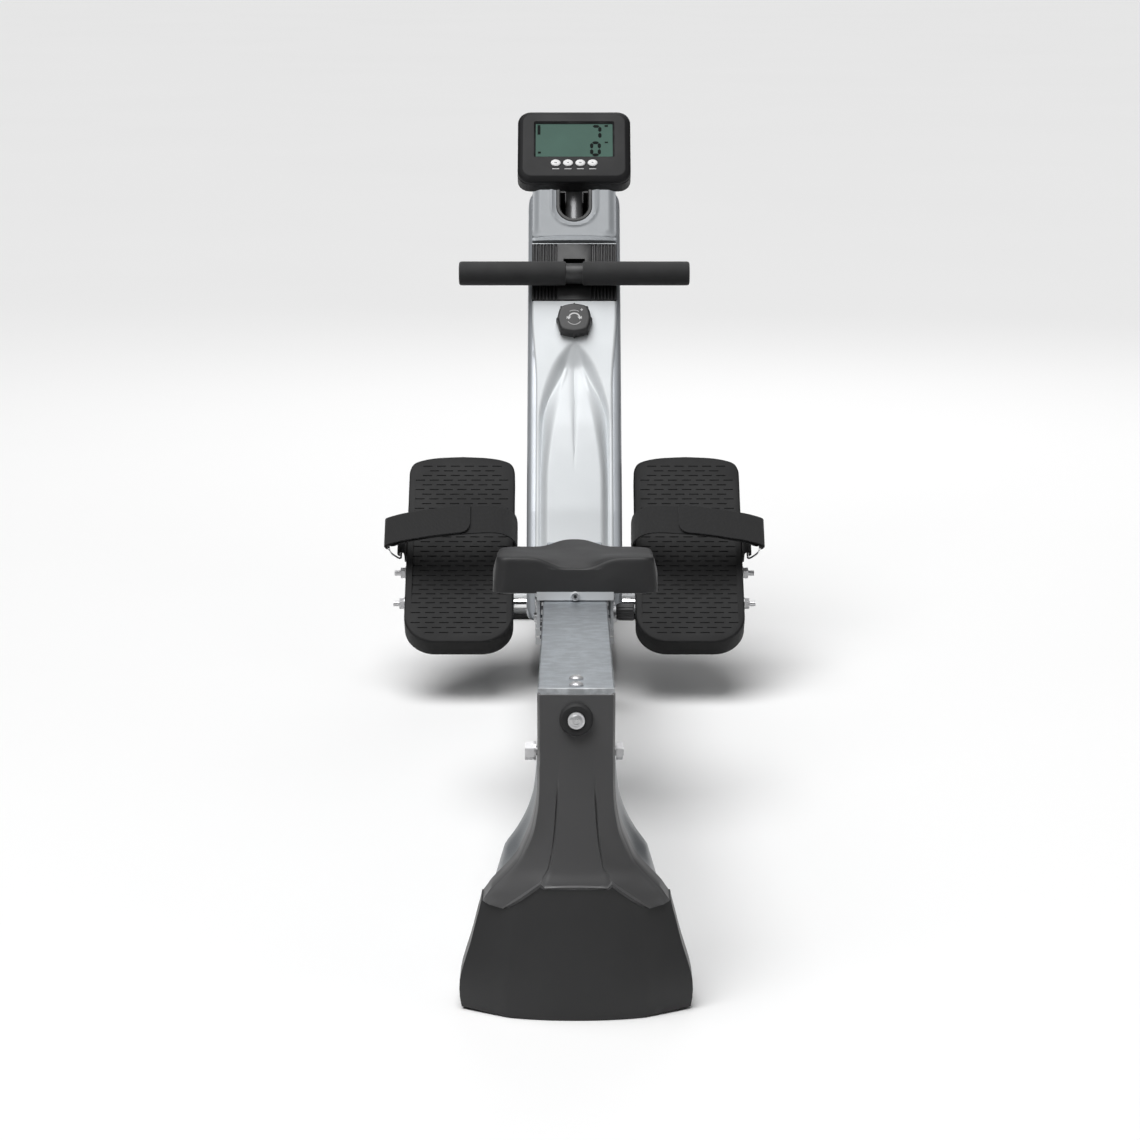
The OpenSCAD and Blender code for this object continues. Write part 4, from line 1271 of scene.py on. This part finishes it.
def neck_height(x, y):
    """The neck's face: lighter bevelled sides, and a soft ridge round the slot."""
    dist = math.hypot(abs(x), max(0, SLOT_Y - y)) - SLOT_HW
    rim = 5.5 * (1 - smooth(NECK_HW - 12, NECK_HW - 1, abs(x)))
    ridge = 1.7 * math.exp(-((dist - 9.5) / 2.0) ** 2)
    return rim + ridge - 1.2 * smooth(7, 2, dist)


def slot_edge(grow, n=28):
    """The slot's U, from its upper left end round to its upper right end."""
    hw = SLOT_HW + grow
    left = [(-hw, lerp(NECK_HI, SLOT_Y, k / 6)) for k in range(6)]
    return (left + [tuple(p) for p in arc((0, SLOT_Y), hw, 180, 360, n)]
            + [(-x, y) for x, y in reversed(left)])


def neck_rim(x, y):
    """The point of the neck's outer edge that lies straight out from a point of the slot."""
    if y > SLOT_Y:
        return math.copysign(NECK_HW, x), y
    dx, dy = x, y - SLOT_Y
    reach = [NECK_HW / abs(dx)] if abs(dx) > 1e-6 else []
    if dy < -1e-6:
        reach.append((SLOT_Y - LIP_Y) / -dy)
    k = min(reach)
    return dx * k, SLOT_Y + dy * k


def make_neck_cover():
    """The grey cover under the console, its bowed lip, and the black-lined mast slot."""
    slot = slot_edge(0)
    rings = [[(x, y, 2.0) for x, y in slot]]
    steps = 22
    for k in range(steps + 1):
        t = k / steps
        ring = []
        for x, y in slot:
            rx, ry = neck_rim(x, y)
            px, py = lerp(x, rx, t), lerp(y, ry, t)
            ring.append((px, py, neck_height(px, py) * (1 if t < 1 else 0.4)))
        rings.append(ring)
    edge = [neck_rim(x, y) for x, y in slot]
    for out, z in ((0.05, -0.6), (0.1, -3)):
        rings.append([(x * (1 + out * 0.001), y, z) for x, y in edge])
    obj = loft("neck_shell", rings, FACE, caps=False, closed=False)
    thicken(obj, 2.2)
    soften(obj, 0.4, 2, 45)
    stand_in(obj, "neck_cover")
    lip = []
    n = 40
    for drop, z in ((-1.5, 3.2), (0.6, 6.4), (2.2, 7.6), (6.4, 7.0), (8.2, 4.6), (8.8, 1.4),
                    (8.8, -2)):
        lip.append([(NECK_HW * i / n, LIP_Y - drop + 3.4 * (1 - (i / n) ** 2) * (drop < 5),
                     z * (1 - 0.3 * (i / n) ** 4)) for i in range(-n, n + 1)])
    lip_obj = loft("neck_lip", lip, FACE, caps=False, closed=False)
    thicken(lip_obj, 2)
    dress(lip_obj, "wing_silver", "frame")
    line = loft("neck_trim_line", [[(NECK_HW * i / n, LIP_Y - 9.6 - w, z)
                                    for i in range(-n, n + 1)]
                                   for w, z in ((0, 0.5), (0, 2.6), (1.2, 2.6), (1.2, 0.5))],
                FACE, caps=False, closed=False)
    thicken(line, 0.4)
    dress(line, "cover_silver", "frame")
    rows = [[(x, y, z) for x, y in slot_edge(g)]
            for g, z in ((1.2, 3.4), (0.2, 4.6), (-2.4, 4.6), (-3.4, 3.2), (-3.4, -40))]
    liner = loft("neck_slot_liner", rows, FACE, caps=False, closed=False)
    thicken(liner, 1.2)
    dress(liner, "black_plastic", "frame")
    for side, name in SIDES:
        wall = [(side * MAST_GAP, -5), (side * NECK_OPEN, -5), (side * NECK_OPEN, -58),
                (side * MAST_GAP, -58)]
        half = box_outline(SLOT_HW + 2 - MAST_GAP, 70, side * (SLOT_HW + 2 + MAST_GAP) / 2,
                           NECK_HI - 28)
        dress(plate("neck_slot_back_" + name, half, -58, -56, FACE, 0.3), "black_plastic",
              "frame")
        obj = loft("neck_slot_top_" + name, [[(x, y, z) for x, z in wall]
                                             for y in (NECK_HI + 1, NECK_HI + 3.5)], FACE)
        fix_normals(obj)
        soften(obj, 0.4, 2, 40)
        dress(obj, "black_plastic", "frame")


# ---- knob ----
KNOB_R = 26.5
KNOB_TEETH = 8


def make_knob():
    """The tension knob: a fluted grip with eight thin teeth and a printed arrow scale."""
    n = 192

    def ring(scale, z, teeth=1.0):
        pts = []
        for k in range(n):
            a = math.tau * k / n
            flute = 0.012 * math.cos(KNOB_TEETH * a)
            square = 0.045 * math.cos(4 * a + math.pi)
            near = min(abs((a - math.radians(360 / KNOB_TEETH * m) + math.pi) % math.tau - math.pi)
                       for m in range(KNOB_TEETH))
            tooth = 0.075 * math.exp(-(near / 0.045) ** 4) * teeth
            r = KNOB_R * ((1 + flute + square) * scale + tooth)
            pts.append((r * math.cos(a), r * math.sin(a), z))
        return pts
    rows = [ring(0.90, 2.0, 0), ring(0.98, 2.6), ring(1, 4), ring(1, 15.5), ring(0.985, 17.6, 0.8),
            ring(0.94, 19.2, 0.2), ring(0.88, 19.9, 0), ring(0.80, 20, 0)]
    obj = loft("knob_grip", rows, FACE)
    stand_in(obj, "tension_knob")
    top = 20.15

    def stroke(name, radius, width, a0, a1):
        inner = arc((0, -1), radius - width / 2, a0, a1, 24)
        outer = arc((0, -1), radius + width / 2, a1, a0, 24)
        printed(name, inner + outer)

    def printed(name, pts):
        dress(loft(name, levels(pts, top - 0.3, top), FACE), "button_white", "tension_knob",
              mat=PRINT)

    stroke("knob_print_arrow", 8.2, 2.2, 14, 166)
    stroke("knob_print_low", 11.2, 0.8, 212, 328)
    stroke("knob_print_high", 13.4, 0.6, 58, 122)
    for side, name in SIDES:
        printed("knob_print_tip_" + name,
                [(side * 4.8, 1.2), (side * 11.8, 1.2), (side * 8.3, -3.6)])
        stroke("knob_print_side_" + name, 11.2, 0.8, 90 - side * 72, 90 - side * 98)
    printed("knob_print_plus_1", box_outline(4.0, 1.1, 11.2, 13.2))
    printed("knob_print_plus_2", box_outline(1.1, 4.0, 11.2, 13.2))


# ---- console ----
CON_W, CON_H = 177, 134
WINDOW = (126, 68, 78)


def make_console():
    """The console's bezel and back, its display and its buttons."""
    def ring(d, z, r):
        pts = rounded(box_outline(CON_W - 2 * d, CON_H - 2 * d, 0, CON_H / 2), r, 10)
        return [(p.x, p.y, z) for p in pts]
    front = [ring(0.3, -12, 21), ring(0, -11, 21), ring(0, -7.5, 21), ring(0.8, -5.2, 20),
             ring(2.6, -3.2, 19), ring(5.2, -2.0, 17), ring(7.6, -0.5, 15), ring(8.6, -0.1, 14.5),
             ring(10, 0, 14)]
    obj = loft("console_bezel", front, CONSOLE)
    w, h, y = WINDOW
    window = rounded(box_outline(w, h, 0, y), 2.5, 4)
    cut(obj, loft("cutter", levels(window, -8.6, 6), CONSOLE))
    soften(obj, 0.4, 2, 50)
    stand_in(obj, "console_front_shell")
    rear = [ring(0.2, -12.3, 21), ring(0, -13.5, 21), ring(0.4, -24, 20.6),
            ring(2.4, -28.6, 18.8), ring(6, -30.6, 16), ring(12, -31, 12)]
    obj = loft("console_back", rear, CONSOLE)
    dress(obj, "console_black", "console")
    frame_out = rounded(box_outline(w + 0.4, h + 0.4, 0, y), 2.5, 4)
    frame_in = rounded(box_outline(w - 5, h - 5, 0, y), 1.5, 4)
    rows = [[(p.x, p.y, z) for p in ring_] for ring_, z in
            ((frame_out, -0.6), (frame_in, -2.6), (frame_in, -4.5), (frame_out, -4.5),
             (frame_out, -0.6))]
    dress(loft("display_frame", rows, CONSOLE, caps=False), "console_black", "console")
    make_display(w - 5, h - 5, y)
    make_button_prints()


SEGMENTS = {"7": "abc", "0": "abcdef"}


def digit(name, char, x, y, h, z):
    """A seven-segment digit h mm tall with its middle at x, y."""
    w, t = h * 0.52, h * 0.22
    spots = {"a": (0, h / 2, True), "b": (w / 2, h / 4, False), "c": (w / 2, -h / 4, False),
             "d": (0, -h / 2, True), "e": (-w / 2, -h / 4, False), "f": (-w / 2, h / 4, False),
             "g": (0, 0, True)}
    verts, faces = [], []
    for s in SEGMENTS[char]:
        cx, cy, flat = spots[s]
        long = (w if flat else h / 2) - t * 0.25
        hex_ = [(-long / 2, 0), (-long / 2 + t / 2, t / 2), (long / 2 - t / 2, t / 2),
                (long / 2, 0), (long / 2 - t / 2, -t / 2), (-long / 2 + t / 2, -t / 2)]
        pts = [(x + cx + (a if flat else b), y + cy + (b if flat else a)) for a, b in hex_]
        for level in (z - 0.25, z):
            verts += [(a, b, level) for a, b in pts]
        n = len(verts) - 12
        faces += [tuple(range(n, n + 6)), tuple(range(n + 6, n + 12))]
        faces += [(n + i, n + (i + 1) % 6, n + 6 + (i + 1) % 6, n + 6 + i) for i in range(6)]
    dress(piece(name, verts, faces, CONSOLE), "console_black", "console", mat=INK)


def make_display(w, h, y):
    """The pane with two digits and its small marks."""
    z = -3.0
    pane = plate("display_pane", rounded(box_outline(w, h, 0, y), 1.2, 3), -5.2, -3.25, CONSOLE,
                 0.2)
    stand_in(pane, "console_display")
    digit("digit_upper", "7", w / 2 - 26, y + h / 4 - 0.5, 23, z)
    digit("digit_lower", "0", w / 2 - 27, y - h / 4 - 0.5, 23, z)
    marks = [("upper", box_outline(4.6, 18, -w / 2 + 5.2, y + h / 2 - 11.5)),
             ("lower", box_outline(4.6, 3.6, -w / 2 + 6, y - h / 2 + 8)),
             ("unit_1", box_outline(5.2, 3.4, w / 2 - 10, y + h / 2 - 4)),
             ("unit_2", box_outline(5.2, 2.6, w / 2 - 10, y - 4))]
    for name, pts in marks:
        dress(loft("display_mark_" + name, levels(pts, z - 0.2, z), CONSOLE), "console_black",
              "console", mat=INK)


BUTTON_X = (-28.8, -9.6, 9.6, 28.8)
BUTTON_Y = 32
BUTTON_RX, BUTTON_RY = 7.8, 6.3


def make_button_prints():
    """White oval buttons with a domed top, a small mark on each and a short dash below."""
    for i, x in enumerate(BUTTON_X):
        node = f"console_button_{i + 1}"
        rows = []
        for f, z in ((1, -6), (1, 0.9), (0.97, 1.5), (0.88, 1.85), (0.6, 2.05), (0.25, 2.1)):
            rows.append([(x + BUTTON_RX * f * math.cos(math.tau * k / 48),
                          BUTTON_Y + BUTTON_RY * f * math.sin(math.tau * k / 48), z)
                         for k in range(48)])
        stand_in(loft(f"button_cap_{i + 1}", rows, CONSOLE), node)
        mark = levels(box_outline(2.6 if i % 2 else 4.2, 0.9, x, BUTTON_Y), 2.0, 2.25)
        dress(loft(f"button_mark_{i + 1}", mark, CONSOLE), "console_black", f"button_{i + 1}",
              mat=INK)
        dash = levels(box_outline(11, 1.3, x, BUTTON_Y - 10.5), -0.2, 0.12)
        dress(loft(f"button_dash_{i + 1}", dash, CONSOLE), "button_white", "console", mat=PRINT)


# ---- handle and pull strap ----
def make_handle():
    """Foam grips with soft ends, and the pull strap that stretches as the handle is drawn."""
    low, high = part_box("hand_grips")
    centre = (low + high) / 2
    radius = (high.z - low.z) / 2 / MM
    reach = high.x / MM
    for side, name in SIDES:
        profile = [(12.8, 12.9), (12.8, radius - 1.6), (13.6, radius - 0.4), (15.5, radius),
                   (reach - 4, radius), (reach - 1.4, radius - 0.7), (reach - 0.3, radius - 2.4),
                   (reach, radius - 4.5), (reach, 3)]
        rings = cross_rings([(side * x, r) for x, r in profile], centre.y / MM, centre.z / MM, 48)
        obj = loft(name + "_foam_grip", rings)
        dress(obj, "foam", "handle", *(["hand_grips"] if side < 0 else []))
    low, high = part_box("pull_strap")
    guide = Vector(JOINTS["guide_roller_spin"]["pos_m"])
    spool = Vector(JOINTS["spool_spin"]["pos_m"])
    top = high.z / MM - 0.9
    r = top - guide.z / MM
    start = centre.y / MM + 12
    strap = [(lerp(start, guide.y / MM, k / 8), top) for k in range(8)]
    turn_down = arc((guide.y / MM, guide.z / MM), r, 90, -26, 12)
    end = (spool.y / MM + 31, spool.z / MM + 12)
    path = strap + turn_down + [Vector(end)]
    half = PULL_STRAP_W / 2
    rings = []
    for i, p in enumerate(path):
        p = Vector(p)
        d = (Vector(path[min(i + 1, len(path) - 1)]) - Vector(path[max(i - 1, 0)])).normalized()
        n = Vector((-d.y, d.x)) * (PULL_STRAP_T / 2)
        over, under = p + n, p - n
        rings.append([(-half, *over), (half, *over), (half, *under), (-half, *under)])
    # Past the guide the strap runs back under itself, so only the run above it stretches
    over_guide = len(strap)
    dress(loft("pull_webbing_return", rings[over_guide:]), "webbing", "frame")
    obj = loft("pull_webbing", rings[:over_guide + 1])
    dress(obj, "webbing", None, "pull_strap")
    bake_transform(obj)


# ---- small parts ----
FORK_X = 0.0470


def make_fork_marks():
    """Black squares down the rear edges of the fork plates: painted shade standing in for the dark insides of the
    punched holes.
    """
    plates = NODES["fork_bracket"]
    into = plates.matrix_world.inverted()
    for side, name in SIDES:
        for i, z in enumerate((159, 143, 135.5, 128, 116)):
            hit, spot, _, _ = plates.ray_cast(into @ Vector((side * FORK_X, -1, z * MM)),
                                              into.to_3x3() @ Vector((0, 1, 0)))
            if not hit:
                continue
            at = lying(plates.matrix_world @ spot, (0, 0, 1))
            # Painted shade: a black tile stands where the plate has a punched hole, in place of the shade inside
            # it.
            mark = plate(f"fork_{name}_punching_{i + 1}", rounded(box_outline(4.6, 5.6), 0.6, 3),
                         -2, 0.5, at, 0.2)
            dress(mark, "black_plastic", "frame")


BOSS_U, BOSS_UP = 650, 53


def make_carriage_boss():
    """The round boss and socket screw in the middle of the carriage's rear flange."""
    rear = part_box("carriage")[0].y
    centre = RAIL @ Vector((0, -BOSS_U * MM, BOSS_UP * MM))
    at = Matrix.Translation((0, rear, centre.z)) @ RAIL.to_3x3().to_4x4()
    ring = [(4.6, 0.6), (4.6, -4.5), (4.85, -4.9), (5.15, -4.7), (5.3, -3.8), (5.35, 1)]
    socket = [(0.01, -5.9), (1.9, -5.9), (2.1, -5.5), (2.1, -4.6)]
    for name, profile, slot in (("carriage_boss", ring, "silver_paint"),
                                ("carriage_boss_socket", socket, "black_plastic")):
        dress(turn(name, profile, at, 32), slot, "seat")


def make_lock_knob():
    """The lock knob: a fluted grip on a plated collar and pin."""
    low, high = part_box("lock_knob")
    centre = (low + high) / 2
    top = (high.z - low.z) / 2 / MM
    x1 = high.x / MM
    x0 = x1 - 26
    rows = []
    for x, f in ((x0, 0.70), (x0 + 0.4, 0.80), (x0 + 2, 0.86), (x0 + 5, 0.97), (x1 - 3, 1.0),
                 (x1 - 1, 0.97), (x1 - 0.2, 0.90), (x1, 0.78)):
        row = []
        for k in range(120):
            a = math.tau * k / 120
            r = top * f * (1 - 0.05 * (0.5 + 0.5 * math.cos(15 * a)) ** 2)
            row.append((x, centre.y / MM + r * math.cos(a), centre.z / MM + r * math.sin(a)))
        rows.append(row)
    stand_in(loft("lock_knob_grip", rows), "lock_knob")
    pin = tube("lock_knob_pin", low.x / MM, x0 + 1, 4, 0.05, centre.y / MM, centre.z / MM)
    dress(pin, "zinc", "lock_knob")
    collar = tube("lock_knob_collar", 50.2, x0 - 13, 8.5, 4.3, centre.y / MM, centre.z / MM)
    dress(collar, "zinc", "frame")


# ---- stage, lights and camera ----
FLOOR_HW = 40  # metres


def make_stage():
    """A plain white floor."""
    corners = [(x * FLOOR_HW, y * FLOOR_HW, 0) for x, y in ((-1, -1), (1, -1), (1, 1), (-1, 1))]
    floor = piece("floor", corners, [(0, 1, 2, 3)], scale=1)
    s = Surface("floor_white", (0.94, 0.94, 0.94), 0.8).mottle(0.7, 0.01)
    floor.data.materials.append(s.mat)
    floor.visible_diffuse = False


def ranged(tree, value, low, high, to_low, to_high):
    """A smooth step of a world value."""
    n = tree.nodes.new("ShaderNodeMapRange")
    n.interpolation_type = "SMOOTHSTEP"
    tree.links.new(value, n.inputs["Value"])
    for key, v in (("From Min", low), ("From Max", high), ("To Min", to_low), ("To Max", to_high)):
        n.inputs[key].default_value = v
    return n.outputs["Result"]


def make_lights():
    """A studio: a white room that is brightest overhead and dim behind the rower."""
    scene = bpy.context.scene
    scene.view_settings.view_transform = "Standard"
    world = bpy.data.worlds.new("studio")
    scene.world = world
    world.use_nodes = True
    tree = world.node_tree
    where = tree.nodes.new("ShaderNodeTexCoord").outputs["Generated"]
    parts = tree.nodes.new("ShaderNodeSeparateXYZ")
    tree.links.new(where, parts.inputs[0])
    ahead = ranged(tree, parts.outputs["Y"], -0.2, 0.9, 0.16, 0.75)
    above = ranged(tree, parts.outputs["Z"], 0.25, 0.95, 0.0, 1.0)
    both = tree.nodes.new("ShaderNodeMath")
    both.operation = "ADD"
    tree.links.new(ahead, both.inputs[0])
    tree.links.new(above, both.inputs[1])
    tree.links.new(both.outputs["Value"], tree.nodes["Background"].inputs["Strength"])
    sun = bpy.data.lights.new("sun", "SUN")
    sun.energy = 2.8
    sun.angle = math.radians(50)
    placed("sun", sun).rotation_euler = (math.radians(12), math.radians(-10), 0)
    for name, place, size, power in (
            ("key", (-1.7, -2.4, 2.6), 1.6, 20), ("fill", (2.2, -1.6, 2.0), 2.0, 8),
            ("rim", (0.4, 3.2, 2.4), 2.2, 18)):
        light = bpy.data.lights.new(name, "AREA")
        light.size = size
        light.energy = power
        obj = placed(name, light)
        obj.location = place
        aim = Vector((0, 0, 0.3)) - obj.location
        obj.rotation_mode = "QUATERNION"
        obj.rotation_quaternion = aim.to_track_quat("-Z", "Y")


CAMERA_PLACE = (-0.0065, -4.038, 1.150)
CAMERA_DROP = 12.2  # degrees below the horizon


def make_camera():
    """The photograph's view: end on, from behind the rower and above."""
    camera = bpy.data.cameras.new("camera")
    camera.sensor_width = 36
    camera.lens = 97.9
    obj = placed("camera", camera)
    obj.location = CAMERA_PLACE
    obj.rotation_euler = (math.radians(90 - CAMERA_DROP), 0, 0)
    bpy.context.scene.camera = obj


make_camera()
make_stage()
make_lights()
dress_cad_nodes()
make_seat_pad()
make_pedals()
make_straps()
make_leg_cover()
make_leg_front()
make_bumper()
make_housing_shells()
make_front_cover()
make_handle_rest()
make_neck_cover()
make_knob()
make_console()
make_handle()
make_fork_marks()
make_carriage_boss()
make_lock_knob()
